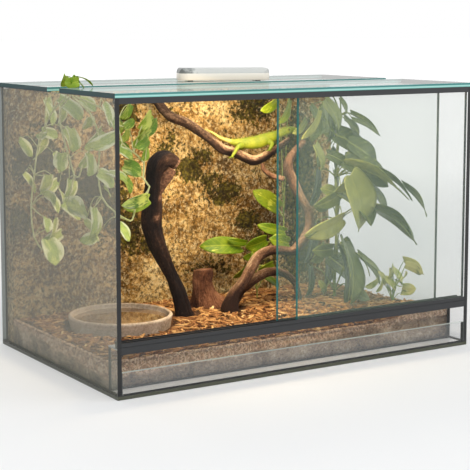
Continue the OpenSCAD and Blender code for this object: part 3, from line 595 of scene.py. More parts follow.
def chipLitter():
    # z = bed height + a ripple that fades towards the pockets
    _, _, x, y = boxGrid("bark_chips", 240, 130)
    z = bedHeight(x, y)
    lumps = ripple(np.stack([x, y, z], -1), bed["crumbSize"], 5, 3)
    z += bed["crumbs"] * lumps * np.clip((z - bedTop - 0.0015) / 0.001, 0, 1)
    return slabPiece("chip_litter", np.stack([x, y, z], -1), 2, bedTop, litterFinish())


def looseChips():
    # Each chip has three rings of four corners, narrow at the ends, and lies near the bed's slope
    lo, hi = boxOf("bark_chips")
    rng = np.random.default_rng(bed["seed"])
    n = bed["chips"]
    length, width, thick = (rng.uniform(*bed[key], n) for key in ("length", "width", "thick"))
    yaw = rng.uniform(0, np.pi, n)
    reach = length[:, None] / 2 * np.abs(np.stack([np.cos(yaw), np.sin(yaw)], -1)) + bed["margin"]
    centre = lo[:2] + reach + rng.uniform(0, 1, (n, 2)) * (hi[:2] - lo[:2] - 2 * reach)
    keep = np.ones(n, bool)
    for px, py, r in bed["clear"]:
        keep &= np.hypot(centre[:, 0] - px, centre[:, 1] - py) > r + length * 0.5 + bed["spare"]
    z = bedHeight(centre[:, 0], centre[:, 1]) + rng.uniform(0, bed["piled"], n)
    tilt, roll = rng.normal(0, bed["tilt"], n), rng.normal(0, bed["roll"], n)
    back, front = (rng.uniform(*ends, n) for ends in bed["taper"])
    taper = np.stack([back, np.ones(n), front], -1)
    along = np.array([-0.5, 0.05, 0.5])
    across, up = np.array([-0.5, 0.5, 0.5, -0.5]), np.array([-0.5, -0.5, 0.5, 0.5])
    ahead = np.stack([np.cos(yaw) * np.cos(tilt), np.sin(yaw) * np.cos(tilt), np.sin(tilt)], -1)
    side = np.stack([-np.sin(yaw) * np.cos(roll), np.cos(yaw) * np.cos(roll), np.sin(roll)], -1)
    lift = np.cross(ahead, side)
    place = (np.concatenate([centre, z[:, None]], 1)[:, None, None]
             + (along[None, :, None] * length[:, None, None])[..., None] * ahead[:, None, None]
             + (across * (taper * width[:, None])[..., None])[..., None] * side[:, None, None]
             + (up * (taper ** 0.5 * thick[:, None])[..., None])[..., None] * lift[:, None, None])
    place = place[keep].reshape(-1, 12, 3)
    place[..., 2] = np.maximum(place[..., 2], bedTop + footGap)
    shade = np.clip(rng.normal(0.5, 0.21, len(place)), 0, 1)
    first = (12 * np.arange(len(place)))[:, None, None]
    one = np.concatenate([gridFaces(3, 4, True), [[3, 2, 1, 0], [8, 9, 10, 11]]])
    return buildPiece("bark_chip_litter", place, [(first + one).reshape(-1, 4)], chipFinish(),
                      shade=np.repeat(shade, 12), smooth=False)


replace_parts(soilBed(), "soil_bed")
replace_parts(chipLitter(), "bark_chips")
looseChips()
print("bed done")

# ---- Water bowl

bowl = {"centre": (-0.175, 0.040), "radius": 0.078, "height": 0.021, "floor": 0.005, "wall": 0.006,
        "underRing": 0.012, "lean": 0.004, "corner": ((0.005, 0.003), (0.007, 0.001), (0.010, 0)),
        "rough": 0.0010, "roughSize": 0.022, "roughFrom": 0.001, "roughFade": 0.004, "sides": 160}


def stoneFinish():
    # Beige grey by two noises, darker where the fine one is low
    finish = Finish("bowl_stone", 0.8)
    broad, fine = finish.noise(30, 3), finish.noise(260, 4, rough=0.7)
    finish.paint(finish.ramp(broad * 0.4 + fine * 0.6, (0.32, 150, 128, 106), (0.46, 188, 166, 142),
                             (0.56, 210, 190, 168), (0.68, 228, 212, 194)))
    finish.bump(fine + broad * 0.5, 0.0015, 0.8)
    return finish


def waterBowl():
    # A profile turned round the bowl's axis; its outside is pressed in by a ripple of at most 1 mm
    r, h, w, t, lean = (bowl[key] for key in ("radius", "height", "wall", "floor", "lean"))
    arc = np.linspace(0, np.pi, 9)
    rim = [(r - w / 2 + w / 2 * np.cos(a), h - w / 2 + w / 2 * np.sin(a)) for a in arc]
    under = [(0, 0), (r - bowl["underRing"], 0), (r - lean, 0)]
    outside = under + [(r - lean + lean * k, k * (h - w / 2)) for k in np.linspace(0.1, 0.9, 6)]
    inside = [(r - w - x, t + z) for x, z in bowl["corner"]] + [(0, t)]
    line = np.array(outside + rim + inside)
    a = np.linspace(0, 2 * np.pi, bowl["sides"], endpoint=False)
    rings = np.stack([line[1:-1, 0, None] * np.cos(a), line[1:-1, 0, None] * np.sin(a),
                      np.repeat(line[1:-1, 1, None], len(a), 1)], -1)
    outer = (np.clip((rings[..., 2] - bowl["roughFrom"]) / bowl["roughFade"], 0, 1)
             * (np.arange(len(line) - 2) < len(outside + rim) - 2)[:, None])
    shrink = bowl["rough"] * (0.5 + 0.5 * ripple(rings, bowl["roughSize"], 21, 4)) * outer
    rings[..., :2] *= 1 - (shrink / np.hypot(rings[..., 0], rings[..., 1]))[..., None]
    rings += [*bowl["centre"], bedTop]
    points = tubePoints(rings)
    points[-2:, 2] = bedTop, bedTop + t
    quads, ends = tubeFaces(len(rings), len(a))
    return buildPiece("bowl_shell", points, [quads[:, ::-1], ends[:, ::-1]], stoneFinish(), "bowl")


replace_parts(waterBowl(), "water_bowl")
water = Finish("bowl_water", 0.04, IOR=1.33, Coat_Weight=0.5)
water.paint(water.ramp(water.noise(30, 3), (0.35, 104, 80, 56), (0.65, 160, 132, 100)))
water.bump(water.noise(60, 2), 0.0003, 0.3)
plain(water, "bowl_water")
print("bowl done")

# ---- Wood

# A path row has x, y, height over the bed and radius in mm; a spot x, height, size and gain of the shade.
# Each limb has a gain, after its seed, for painted top light: its upper side paler, its underside darker.
wood = {
    "main_trunk": {"finish": "trunk", "sides": 56, "lumps": 0.22, "seed": 1, "paintedTopLight": 0.10, "cut": 6,
        "path": ((-59, 48, 0.3, 15), (-62, 48, 10, 12.5), (-69.5, 48, 38, 11.5), (-84, 49.5, 72, 9.8),
            (-104, 50, 112, 12.8), (-116, 50, 150, 14), (-116, 48, 184, 13), (-114, 46, 208, 13),
            (-112, 44, 228, 14), (-106, 43, 242, 14.5), (-95, 42, 247, 14), (-85, 41, 243, 12),
            (-78, 40, 238, 9)),
        "spots": ((-100, 218, 9, 0.8), (-114, 160, 6, 0.8), (-108, 190, 5, 0.8)),
        "stub": ((-110, 43, 196, 7), (-103, 41, 210, 9), (-95, 40, 222, 10), (-89, 40, 232, 10))},
    "upper_branch": {"finish": "dark", "sides": 36, "lumps": 0.17, "seed": 2, "paintedTopLight": 1.2,
        "side": (0, 0.3, 1),
        "path": ((-51, 163.2, 330, 7), (-51, 158, 330, 7), (-51, 152, 330, 7), (-40, 128, 306, 7.5),
            (-17, 113, 294, 7.5), (-4, 98, 282, 7), (8, 86, 270, 7), (25, 76, 254, 7.5), (42, 68, 248, 7.5),
            (57, 60, 240, 7.5), (70, 54, 235, 7.5), (84, 48, 240, 7), (96, 43, 248, 6), (108, 38, 256, 5),
            (124, 32, 268, 4))},
    "leaning_branch": {"finish": "tan", "sides": 40, "lumps": 0.18, "seed": 3, "paintedTopLight": 1.1,
        "path": ((17, 38, 0.3, 14), (18, 38, 12, 12), (24, 36, 30, 8.5), (38, 32, 48, 8), (48, 29, 68, 8),
            (60, 26, 86, 8), (76, 22, 95, 7.5), (94, 16, 96, 7), (114, 12, 93, 7), (124, 8, 100, 8),
            (135, 4, 115, 8), (143, 4, 132, 7.5), (141, 6, 155, 7.5), (128, 10, 179, 7.5),
            (117, 14, 203, 7.5), (110, 16, 220, 7.5), (112, 17, 236, 7), (124, 19, 250, 6),
            (144, 22, 264, 5)),
        # The leaning branch's dark spot is painted shade at its foot on the bed; its pale one is a painted
        # highlight
        "spots": ((15, 6, 22, -0.9), (52, 76, 16, 0.3))},
    "low_stick": {"finish": "tan", "sides": 30, "lumps": 0.14, "seed": 4, "paintedTopLight": 0.7,
        "path": ((36, 56, 0.3, 6.5), (36, 56, 10, 6.5), (46, 54, 29, 7), (60, 53, 39, 7.5),
            (74, 53, 47, 7.5), (90, 53, 53, 7.5), (104, 54, 54, 7), (118, 55, 52, 6.5), (136, 56, 45, 6),
            (152, 57, 31, 5), (160, 57, 8, 5), (160, 57, 0.3, 5))},
    "cross_twig": {"finish": "tan", "sides": 18, "lumps": 0.08, "seed": 5, "paintedTopLight": 0.8,
        "path": ((107, 22.5, 207, 4.4), (103, 27, 207, 4.2), (92, 38, 212, 4.0), (83, 45, 221, 3.8),
            (82, 47, 230.5, 3.0))},
    "cork_stump": {"finish": "stump", "sides": 60, "lumps": 0.22, "seed": 6, "paintedTopLight": 0.2,
        "path": ((9, 99, 0.3, 34), (8, 99, 5, 30), (5, 98, 14, 22), (2, 97, 28, 17), (1, 96, 44, 15),
            (3, 95, 57, 15.5), (3, 95, 61, 13))}}


def barkFinish(name, scale, depth, contrast, stops):
    # Colour by a noise drawn out along the limb, a fine one and the shade, which is high where it is pale;
    # the shade carries painted top light and the painted shade and highlight of some spots.
    finish = Finish(name, 0.85)
    fibre = finish.noise(scale, 5, (9.0, 1.0, 1.0), 0.65, finish.along())
    fine = finish.noise(300, 4, rough=0.7)
    value = fibre * 0.65 + fine * 0.35 + (finish.attribute("shade") - 0.5) * contrast
    finish.paint(finish.ramp(value, *stops))
    finish.bump(fibre + fine * 0.5, depth, 0.9)
    return finish


# Sizes of lumps and furrows on a ring of radius 1, and the run along the limb that counts as 1 there
grain = {"run": 0.030, "lump": 2.6, "furrow": 2.4, "drawn": (4, 4, 0.5), "fade": 0.004, "alongRun": 0.06}
# Slot and finish of each kind of wood
bark = {
    "trunk": ("dark_wood", barkFinish("wood_trunk", 7, 0.004, 0.36, (
        (0.38, 18, 12, 9), (0.50, 38, 26, 19), (0.62, 70, 48, 36), (0.78, 158, 120, 98)))),
    "dark": ("dark_wood", barkFinish("wood_dark", 7, 0.004, 0.46, (
        (0.36, 26, 18, 15), (0.46, 56, 40, 32), (0.56, 100, 76, 60), (0.72, 184, 154, 124)))),
    "tan": ("tan_wood", barkFinish("wood_tan", 7, 0.004, 0.42, (
        (0.36, 52, 36, 28), (0.46, 98, 70, 54), (0.56, 142, 106, 82), (0.70, 206, 174, 142)))),
    "stump": ("cork", barkFinish("wood_stump", 5, 0.006, 0.42, (
        (0.36, 66, 40, 28), (0.46, 108, 70, 50), (0.56, 144, 98, 72), (0.70, 176, 130, 98))))}


def woodPiece(node, part):
    # Radius = path radius * (1 + lumps * ripple and furrows along the limb). The shade is high where the
    # ripple is, past the cut and round the spots, which raise or lower it; on the upper side it is painted
    # top light, high above and low underneath.
    rows = smoothPath(part["path"], 9)
    path, r = plan(rows[:, :3]), rows[:, 3:] * mm
    path[:, 2] = np.maximum(path[:, 2], bedTop + footGap)
    run = np.concatenate([[0], np.cumsum(np.linalg.norm(np.diff(path, axis=0), axis=1))])
    a, run = np.meshgrid(np.linspace(0, 2 * np.pi, part["sides"], endpoint=False), run)
    ball = np.stack([np.cos(a), np.sin(a), run / grain["run"]], -1)
    lump = ripple(ball, grain["lump"], part["seed"], 3)
    furrow = ripple(ball * grain["drawn"], grain["furrow"], part["seed"] + 20, 2)
    ends = np.clip(np.minimum(run, run[-1] - run) / grain["fade"], 0.25, 1)
    reach = r * (1 + part["lumps"] * (lump * 0.9 + 0.45 * furrow) * ends)
    rings = tubeSurface(path, reach, reach, part["sides"], part.get("side", (0, 1, 0)))
    rings[..., 2] = np.maximum(rings[..., 2], bedTop + footGap)
    # Painted top light: the share of the radius above the path, paler above and darker below
    paintedTopLight = (rings[..., 2] - path[:, 2:]) / r
    shade = 0.42 + lump * 0.3 + part["paintedTopLight"] * 0.45 * paintedTopLight * (0.8 + 0.4 * furrow)
    for x, z, size, gain in part.get("spots", ()):
        away = (rings[..., 0] / mm - x) ** 2 + ((rings[..., 2] - bedTop) / mm - z) ** 2
        shade += gain * np.exp(-away / size ** 2)
    shade[len(path) - part.get("cut", 0):] += 0.7
    along = np.stack([np.abs(a / np.pi - 1), run / grain["alongRun"]], -1).reshape(-1, 2)
    limbs = [(tubePoints(rings), *tubeFaces(len(path), part["sides"]),
              np.concatenate([along, [[0, 0], [0, run[-1, 0] / grain["alongRun"]]]]),
              np.concatenate([np.clip(shade, 0, 1).ravel(), [1, 1]]))]
    if "stub" in part:
        limbs.append((*rounded(part["stub"], 6, 20), 0.85))
    slot, finish = bark[part["finish"]]
    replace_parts(joinedPiece(node + "_bark", limbs, finish), node)


for node, part in wood.items():
    woodPiece(node, part)
print("wood done")

# ---- Leaves on the CAD stalks

leafShape = {"rings": np.array([0.12, 0.3, 0.5, 0.7, 0.86, 1.0]), "sides": 30, "thick": 0.0006, "lobe": 0.7,
             "shade": (0.42, 0.2), "bend": 0.05, "arch": 0.10, "cup": 0.24, "wavy": 0.035, "middle": 0.38}
# Leaves end inside the glass and over the chips: furthest place each way, and the room past it to bend in.
# Rimmed leaves turn pale to the left of rimmedX.
reachX, roomX, footZ, roomZ, rimmedX = 0.285, 0.008, 0.052, 0.006, -0.228
facing = (0.5, -0.86, 0)
# Screen colours of a leaf from deep to light, then of its cream streaks; and of its stalks
plants = {
    "hanging": {"seed": 31, "wide": 1.15, "splash": 0.03, "rimmed": True, "stalks": "hanging_vines",
        "leaf": ((58, 90, 16), (106, 142, 28), (164, 186, 54), (204, 210, 98)),
        "stem": ((182, 186, 112), (226, 224, 168))},
    "sprout": {"seed": 32, "wide": 0.85, "splash": -0.10, "stalks": "sprout_stalk",
        "leaf": ((48, 84, 14), (112, 150, 26), (184, 200, 60), (206, 214, 110)),
        "stem": ((76, 116, 50), (150, 158, 100))},
    "low_plant": {"seed": 33, "wide": 1.2, "splash": -0.06,
        "leaf": ((30, 50, 8), (84, 110, 16), (158, 168, 42), (196, 200, 84)),
        "stem": ((86, 112, 48), (150, 156, 84))},
    "tall_plant": {"seed": 34, "wide": 1.45, "splash": -0.10,
        "leaf": ((58, 68, 38), (98, 110, 56), (188, 186, 96), (186, 192, 104)),
        "stem": ((84, 104, 48), (150, 156, 88))},
    "pothos": {"seed": 35, "wide": 1.2, "splash": 0.06,
        "leaf": ((48, 72, 26), (112, 136, 48), (182, 190, 92), (220, 214, 140)),
        "stem": ((96, 128, 52), (160, 172, 92))}}


def leafFinish(plant, part):
    # Green by noise and the leaf's shade, pale midrib and side veins; streaks of cream drawn out along it.
    # A rimmed leaf has cream edges, by its side and a noise, towards the left pane.
    deep, middle, light, cream = part["leaf"]
    finish = Finish("leaf_" + plant.split("_")[0], 0.45)
    along = finish.along()
    across, run, _ = finish.axes(along)
    side = abs(across - 0.5) * 2
    broad = finish.noise(55, 3)
    colour = finish.ramp(finish.attribute("shade") * 0.75 + (broad - 0.5) * 0.7 + 0.12,
                         (0.05, *deep), (0.45, *middle), (0.95, *light))
    veins = (run * 7 - side * 1.8).fract()
    rib = 1 - side.above(0.05, 0.05)
    lines = (abs(veins - 0.5) * 2).above(0.86, 0.12) * 0.22
    colour = finish.mix(rib * 0.55 + lines, colour, tone(*light))
    streak = finish.noise(1.0, 4, (9.0, 2.2, 1.0), 0.6, along) * 0.6 + finish.noise(45, 3) * 0.6
    creamy = (streak - 0.6 + part["splash"]).above(0.05, 0.035)
    colour = finish.mix(creamy * 0.85, colour, tone(*cream))
    if part.get("rimmed"):
        left = (finish.axes()[0] * -1).above(-rimmedX, 0.012)
        edge = (side + (broad - 0.5) * 1.4).above(0.62, 0.14)
        colour = finish.mix(left * 0.45, colour, tone(206, 220, 118))
        colour = finish.mix(left * edge * 0.85, colour, tone(250, 248, 206))
    finish.paint(colour)
    finish.bump(lines + rib * -1.0 + broad * 0.3, 0.0006, 0.6)
    return finish


def stalkFinish(plant, part):
    # Green to straw by noise
    low, high = (tone(*colour) for colour in part["stem"])
    finish = Finish("stalk_" + plant, 0.6)
    fine = finish.noise(120, 3)
    finish.paint(finish.mix(fine.above(0.5, 0.15), low, high))
    finish.bump(fine, 0.0004, 0.5)
    return finish


def leafIslands(node):
    # Corner places of each separate leaf, found by spreading the lowest number along the edges
    mesh = nodes[node].data
    places = np.empty(len(mesh.vertices) * 3)
    mesh.vertices.foreach_get("co", places)
    edges = np.empty(len(mesh.edges) * 2, np.int32)
    mesh.edges.foreach_get("vertices", edges)
    spots, same = np.unique(np.round(places.reshape(-1, 3) * 1e6), axis=0, return_inverse=True)
    a, b = same.ravel()[edges.reshape(-1, 2)].T
    label = np.arange(len(spots))
    for _ in range(60):
        low = np.minimum(label[a], label[b])
        np.minimum.at(label, a, low)
        np.minimum.at(label, b, low)
    return [spots[label == k] * 1e-6 for k in np.unique(label)]


def leafFrame(spots):
    # Stalk end, length, width and the three directions of a leaf: its ends are the six outermost corners
    centre = spots.mean(0)
    axes = np.linalg.svd(spots - centre)[2]
    t, across = (spots - centre) @ axes[0], np.abs((spots - centre) @ axes[1])
    if (t * across).sum() / across.sum() > (t.min() + t.max()) / 2:
        t = -t
    order = np.argsort(t)
    start, tip = spots[order[:6]].mean(0), spots[order[-6:]].mean(0)
    length = np.linalg.norm(tip - start)
    ahead = (tip - start) / length
    side = axes[1] - ahead * (axes[1] @ ahead)
    side /= np.linalg.norm(side)
    up = np.cross(side, ahead)
    if up @ (centre - (start + tip) / 2) < 0:
        side, up = -side, -up
    return start, length, 2 * across.max(), ahead, side, up


def facingLeaf(start, tip, width, turn):
    # The same six values for a leaf that shows its face to the front left corner, rolled by turn
    start, tip = plan([start, tip])
    length = np.linalg.norm(tip - start)
    ahead = (tip - start) / length
    flat = np.cross(ahead, facing)
    flat /= np.linalg.norm(flat)
    side = math.cos(turn) * flat + math.sin(turn) * np.cross(flat, ahead)
    return start, length, width * mm, ahead, side, np.cross(side, ahead)


def bentIn(excess, room):
    # room * (1 - e^(-excess / room)), or 0 where there is no excess
    return room * (1 - np.exp(-np.maximum(excess, 0) / room))


def leafSurface(place, rng, wide=1.0, shade=None):
    # Outline over a turn from tip to stalk and back: along = (1 + cos a) / 2 less a lobe beside the stalk,
    # across = sin a, to a higher power near the tip. Rings shrink it to the middle. Height = arch + fold +
    # a wavy rim.
    start, length, width, ahead, side, up = place
    shade = np.clip(rng.normal(*leafShape["shade"]), 0, 1) if shade is None else shade
    a = np.linspace(0, 2 * np.pi, leafShape["sides"], endpoint=False)
    across = np.sign(np.sin(a)) * np.abs(np.sin(a)) ** (1 + 0.7 * np.cos(a / 2) ** 2 * (np.cos(a) > 0))
    along = 0.5 + 0.5 * np.cos(a) - leafShape["lobe"] * np.sin(a) ** 2 * (0.5 - 0.5 * np.cos(a)) ** 4
    rows, middle = leafShape["rings"], leafShape["middle"]
    share = np.concatenate([rows, rows[::-1]])[:, None]
    x = share * across * width / 2 * wide
    y = (middle + share * (along - middle)) * length
    bend, phase = rng.uniform(-leafShape["bend"], leafShape["bend"]), rng.uniform(0, 6.28)
    z = (leafShape["arch"] * length * np.sin(np.pi * np.clip(y / length, 0, 1))
         + leafShape["cup"] * np.abs(x) ** 1.15 * 1.3
         + leafShape["wavy"] * width * share ** 3 * np.sin(3 * a + phase))
    x = x + bend * length * (y / length) ** 2
    z = z - leafShape["thick"] * (np.arange(len(share)) >= len(rows))[:, None]
    rings = start + y[..., None] * ahead + x[..., None] * side + z[..., None] * up
    east, height = rings[..., 0], rings[..., 2]
    rings[..., 0] = np.clip(east, -reachX, reachX) + np.sign(east) * bentIn(np.abs(east) - reachX, roomX)
    rings[..., 2] = np.maximum(height, footZ) - bentIn(footZ - height, roomZ)
    quads, fans = tubeFaces(len(share), len(a))
    uv = np.stack([0.5 + x / width / wide, y / length], -1).reshape(-1, 2)
    return tubePoints(rings), quads[:, ::-1], fans[:, ::-1], np.concatenate([uv, [[0.5, middle]] * 2]), shade


leafFinishes, stalkFinishes = {}, {}
for plant, part in plants.items():
    leafFinishes[plant], stalkFinishes[plant] = leafFinish(plant, part), stalkFinish(plant, part)
    plain(stalkFinishes[plant], part.get("stalks", plant + "_stalks"))
    rng = np.random.default_rng(part["seed"])
    leaves = [leafSurface(leafFrame(spots), rng, part["wide"]) for spots in leafIslands(plant + "_leaves")]
    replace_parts(joinedPiece(plant + "_blades", leaves, leafFinishes[plant]), plant + "_leaves")

# Further leaves, each on a stalk from one of the roots. A row has the root's number, start, tip, width in mm,
# shade, and the turn where it isn't the usual one.
usualTurn = 0.1
moreLeaves = {
    "tall_plant": {"seed": 41, "stalk": 1.3,
        "roots": ((238, 52, 300), (232, 50, 262), (226, 48, 200), (228, 47, 130), (224, 45, 60),
            (222, 44, 12)),
        "leaves": ((0, 167, 0, 329, 197, 0, 281, 35, 0.6), (0, 212, 20, 331, 225, 20, 303, 15, 0.35),
            (0, 150, -10, 315, 117, -10, 270, 25, 0.95, 0.15), (1, 139, 10, 299, 114, 10, 278, 19, 0.6),
            (1, 143, -10, 261, 155, -10, 219, 29, 0.8), (1, 195, 30, 241, 243, 30, 214, 22, 0.1),
            (1, 219, 40, 271, 280, 40, 233, 42, 0.15, 0.05), (1, 231, 20, 259, 280, 8, 216, 42, 0.12),
            (2, 217, 10, 231, 281, -22, 190, 46, 0.15, 0.0), (2, 264, 0, 214, 279, -84, 170, 31, 0.2),
            (2, 283, -56, 195, 281, -116, 151, 23, 0.22), (0, 230, 10, 297, 281, 2, 269, 10, 0.1, 0.2),
            (0, 229, 30, 299, 249, 30, 269, 14, 0.15), (3, 184, -44, 214, 206, -44, 124, 88, 0.9, 0.0),
            (2, 191, -34, 206, 163, -34, 189, 23, 0.7, 0.3), (3, 175, -40, 146, 101, -40, 123, 33, 0.95),
            (2, 187, -20, 185, 133, -20, 165, 25, 0.5), (3, 269, 0, 148, 281, -92, 105, 50, 0.14, 0.0),
            (2, 252, 10, 196, 279, -18, 140, 37, 0.14), (4, 187, -20, 104, 199, -20, 3, 58, 0.32, 0.0),
            (4, 174, -16, 95, 134, -16, 96, 23, 0.35, 0.2), (4, 223, 0, 75, 242, 0, 23, 27, 0.12),
            (4, 236, 0, 80, 280, -4, 27, 17, 0.2), (5, 163, -10, 25, 151, -10, 45, 15, 0.5),
            # Rows with a shade of 0.02 to 0.06, behind at y 40 to 70, are leaves darkened as painted shade at
            # the back
            (5, 215, -20, 22, 246, -20, -2, 23, 0.55), (2, 198, 60, 212, 174, 60, 148, 35, 0.02),
            (3, 195, 70, 122, 176, 70, 54, 39, 0.02), (4, 217, 60, 82, 205, 60, 6, 42, 0.04),
            (5, 176, 50, 57, 167, 50, 4, 31, 0.04), (2, 231, 60, 210, 224, 60, 156, 27, 0.06),
            (1, 214, 50, 302, 209, 50, 255, 31, 0.2), (0, 169, 40, 319, 179, 40, 292, 23, 0.4),
            (5, 207, 40, 71, 253, 40, 27, 42, 0.05), (1, 219, 50, 247, 226, 50, 212, 23, 0.05))},
    "pothos": {"seed": 45, "stalk": 0.8,
        "roots": ((264, -56, 8),),
        "leaves": ((0, 280, -64, 74, 280, -114, 57, 19, 0.5), (0, 268, -52, 59, 281, -58, 32, 18, 0.8),
            (0, 253, -52, 46, 269, -58, 24, 17, 0.9), (0, 246, -52, 48, 230, -58, 26, 16, 0.8),
            (0, 279, -60, 21, 280, -94, 32, 11, 0.6), (0, 267, -52, 65, 252, -58, 47, 16, 0.4),
            (0, 236, -52, 44, 207, -58, 36, 13, 0.5), (0, 274, -52, 40, 280, -74, 24, 16, 0.5))},
    "hanging": {"seed": 43, "stalk": 0.8,
        "roots": ((-250, -48, 335), (-287, 22, 328), (-284, 104, 137), (-258, -68, 212), (-287, 92, 230),
            (-286, 108, 181), (-262, -66, 250), (-258, -64, 290), (-277, -7, 262), (-287, 52, 303),
            (-262, -44, 326), (-286, 80, 271), (-275, -17, 239), (-226, -80, 180), (-236, -72, 312),
            (-206, -64, 271), (-229, -74, 286), (-184, -54, 254), (-189, -60, 234), (-186, -62, 212)),
        "leaves": ((0, -215, 3, 338, -219, -20, 302, 26, 0.35, 0.2),
            (1, -262, 100, 335, -266, 76, 302, 20, 0.2, -0.2),
            (2, -262, 79, 162, -266, 103, 126, 24, 0.2, 0.2), (3, -250, 1, 166, -254, -46, 147, 26, 0.3),
            (4, -270, 161, 223, -274, 121, 199, 14, 0.4, 0.0),
            (5, -262, 111, 199, -266, 65, 187, 18, 0.4, 0.3),
            (6, -240, -42, 221, -244, -64, 212, 14, 0.6, 0.0),
            (7, -250, -18, 319, -254, -7, 301, 22, 0.5, -0.2), (8, -262, 63, 211, -266, 39, 185, 18, 0.2),
            (1, -269, 41, 343, -243, 41, 322, 22, 0.35), (9, -254, 115, 339, -258, 115, 303, 22, 0.3),
            (10, -268, -25, 346, -243, -25, 328, 20, 0.5), (0, -261, -84, 341, -251, -84, 310, 22, 0.4),
            (11, -269, 103, 292, -243, 103, 282, 18, 0.4), (11, -291, 140, 276, -269, 140, 251, 22, 0.2),
            (9, -262, 41, 299, -250, 41, 267, 26, 0.4), (7, -242, -40, 301, -270, -40, 277, 26, 0.6),
            (11, -260, 80, 261, -252, 80, 231, 20, 0.5), (8, -247, -12, 268, -265, -12, 249, 24, 0.4),
            (6, -267, -78, 247, -245, -78, 226, 24, 0.8), (4, -242, 112, 216, -270, 112, 199, 22, 0.6),
            (12, -251, 31, 224, -261, 31, 199, 16, 0.3), (5, -262, 89, 195, -250, 89, 171, 18, 0.5),
            (12, -270, 31, 194, -242, 31, 168, 24, 0.6), (3, -259, -44, 190, -253, -44, 156, 22, 0.7),
            (2, -241, 101, 139, -271, 101, 130, 22, 0.3), (13, -242, -21, 152, -270, -21, 146, 20, 0.4),
            (4, -282, 140, 227, -269, 140, 205, 14, 0.2), (14, -203, -52, 337, -223, -58, 318, 20, 0.4),
            (15, -171, -52, 322, -195, -58, 303, 24, 0.7), (15, -181, -52, 294, -205, -58, 278, 22, 0.8),
            (16, -223, -52, 284, -213, -58, 262, 24, 0.4), (17, -200, -52, 260, -219, -58, 242, 24, 0.2),
            (17, -178, -52, 276, -191, -58, 258, 20, 0.6), (18, -216, -52, 236, -207, -58, 213, 20, 0.5),
            (19, -176, -52, 202, -219, -58, 194, 22, 0.7), (14, -219, -52, 315, -227, -58, 296, 16, 0.3),
            (15, -207, -52, 303, -223, -58, 287, 18, 0.5))},
    "sprout": {"seed": 44, "stalk": 0.6,
        "roots": ((-268, -22, 360), (-268, -20, 360)),
        "leaves": ((0, -281, -8, 377, -290, -6, 363, 24, 0.7),
            (1, -272, -20, 377, -278, -18, 363, 17, 0.4, 0.0))},
    "low_plant": {"seed": 42, "stalk": 0.9,
        "roots": ((152, 90, 134), (94, 84, 60), (99, 88, 20)),
        "leaves": ((0, 120, 60, 330, 80, 50, 312, 22, 0.7, 0.2), (0, 142, 60, 328, 114, 50, 290, 24, 0.6),
            (1, 104, 84, 78, 76, 96, 74, 15, 0.5, 0.0), (2, 112, 80, 40, 128, 66, 22, 17, 0.4))}}


def moreFoliage(plant, part):
    # Blades as above; each stalk bends once, a fifth of its length over the straight line
    rng = np.random.default_rng(part["seed"])
    thick, blades, stalks = part["stalk"], [], []
    for row in part["leaves"]:
        root, start, tip = np.reshape([*part["roots"][row[0]], *row[1:7]], (3, 3)).astype(float)
        width, shade, turn = (*row[7:], usualTurn)[:3]
        blades.append(leafSurface(facingLeaf(start, tip, width, turn), rng, 1.0, shade))
        middle = (root + start) / 2 + [0, 0, 0.2 * np.linalg.norm(start - root)]
        stalks.append((*rounded([[*root, thick], [*middle, thick * 0.8], [*start, 0.4]], 7, 8), 0.5))
    joinedPiece(plant + "_more_blades", blades, leafFinishes[plant])
    joinedPiece(plant + "_more_stalks", stalks, stalkFinishes[plant])


for plant, part in moreLeaves.items():
    moreFoliage(plant, part)
print("plants done")

# ---- Lizard

# In mm. Spine rows end with the radius; crest rows are the way back, share of it, rise and thickness.
lizard = {
    "spine": ((-6, 78, 286, 0.8), (7, 76, 280.5, 1.6), (21, 73, 271.5, 2.3), (35, 69, 266, 3.4),
        (45, 65, 263.5, 6), (60, 61, 262.5, 8.8), (76, 57, 263, 10.2), (88, 53, 266.5, 10.2),
        (102, 50, 271, 8.6), (113, 47, 275.5, 6.2), (122, 44, 279, 7.0), (132, 41, 282, 5.4),
        (141, 38, 282.5, 2.6)),
    "legs": (((50, 58, 260), (38, 50, 258), (24, 46, 243)), ((60, 68, 258.5), (58, 76, 253), (52, 78, 244)),
        ((93, 50, 266), (94, 38, 261), (85, 33, 252)), ((102, 56, 267), (115, 61, 258), (121, 60, 251))),
    "thick": (4.6, 3.4, 1.9), "sides": 24,
    "flat": 0.82, "lean": (0.3, 0.2, 1),
    "toes": ((-5.0, -1.5), (-4.5, 2.5), (1.0, -5.0)), "toeDrop": -1.0, "toeArch": 0.8,
    "toeThick": (1.2, 0.8, 0.35),
    "crest": ((0, 0.9, 0, 0.9), (-0.8, 1, 1.4, 0.5), (-1.6, 1, 2.6, 0.15)),
    "eyes": ((125.5, 36.8, 282.5), (125.5, 49.2, 282.5)),
    "eyeSize": 1.25}


def lizardFinish():
    # Yellow green on the sides, darker bands along the back, by its own shade, noise and scale cells
    finish = Finish("lizard_skin", 0.6)
    shade, broad = finish.attribute("shade"), finish.noise(70, 3)
    colour = finish.ramp(shade + (broad - 0.5) * 0.7, (0.05, 40, 56, 10), (0.4, 84, 98, 16),
                         (0.75, 116, 120, 26), (1.0, 146, 138, 74))
    scales = finish.cells(620)
    finish.paint(finish.mix(scales.above(0.62, 0.15) * 0.35, colour, tone(50, 66, 12)))
    finish.bump(1 - scales, 0.0006, 0.8)
    return finish


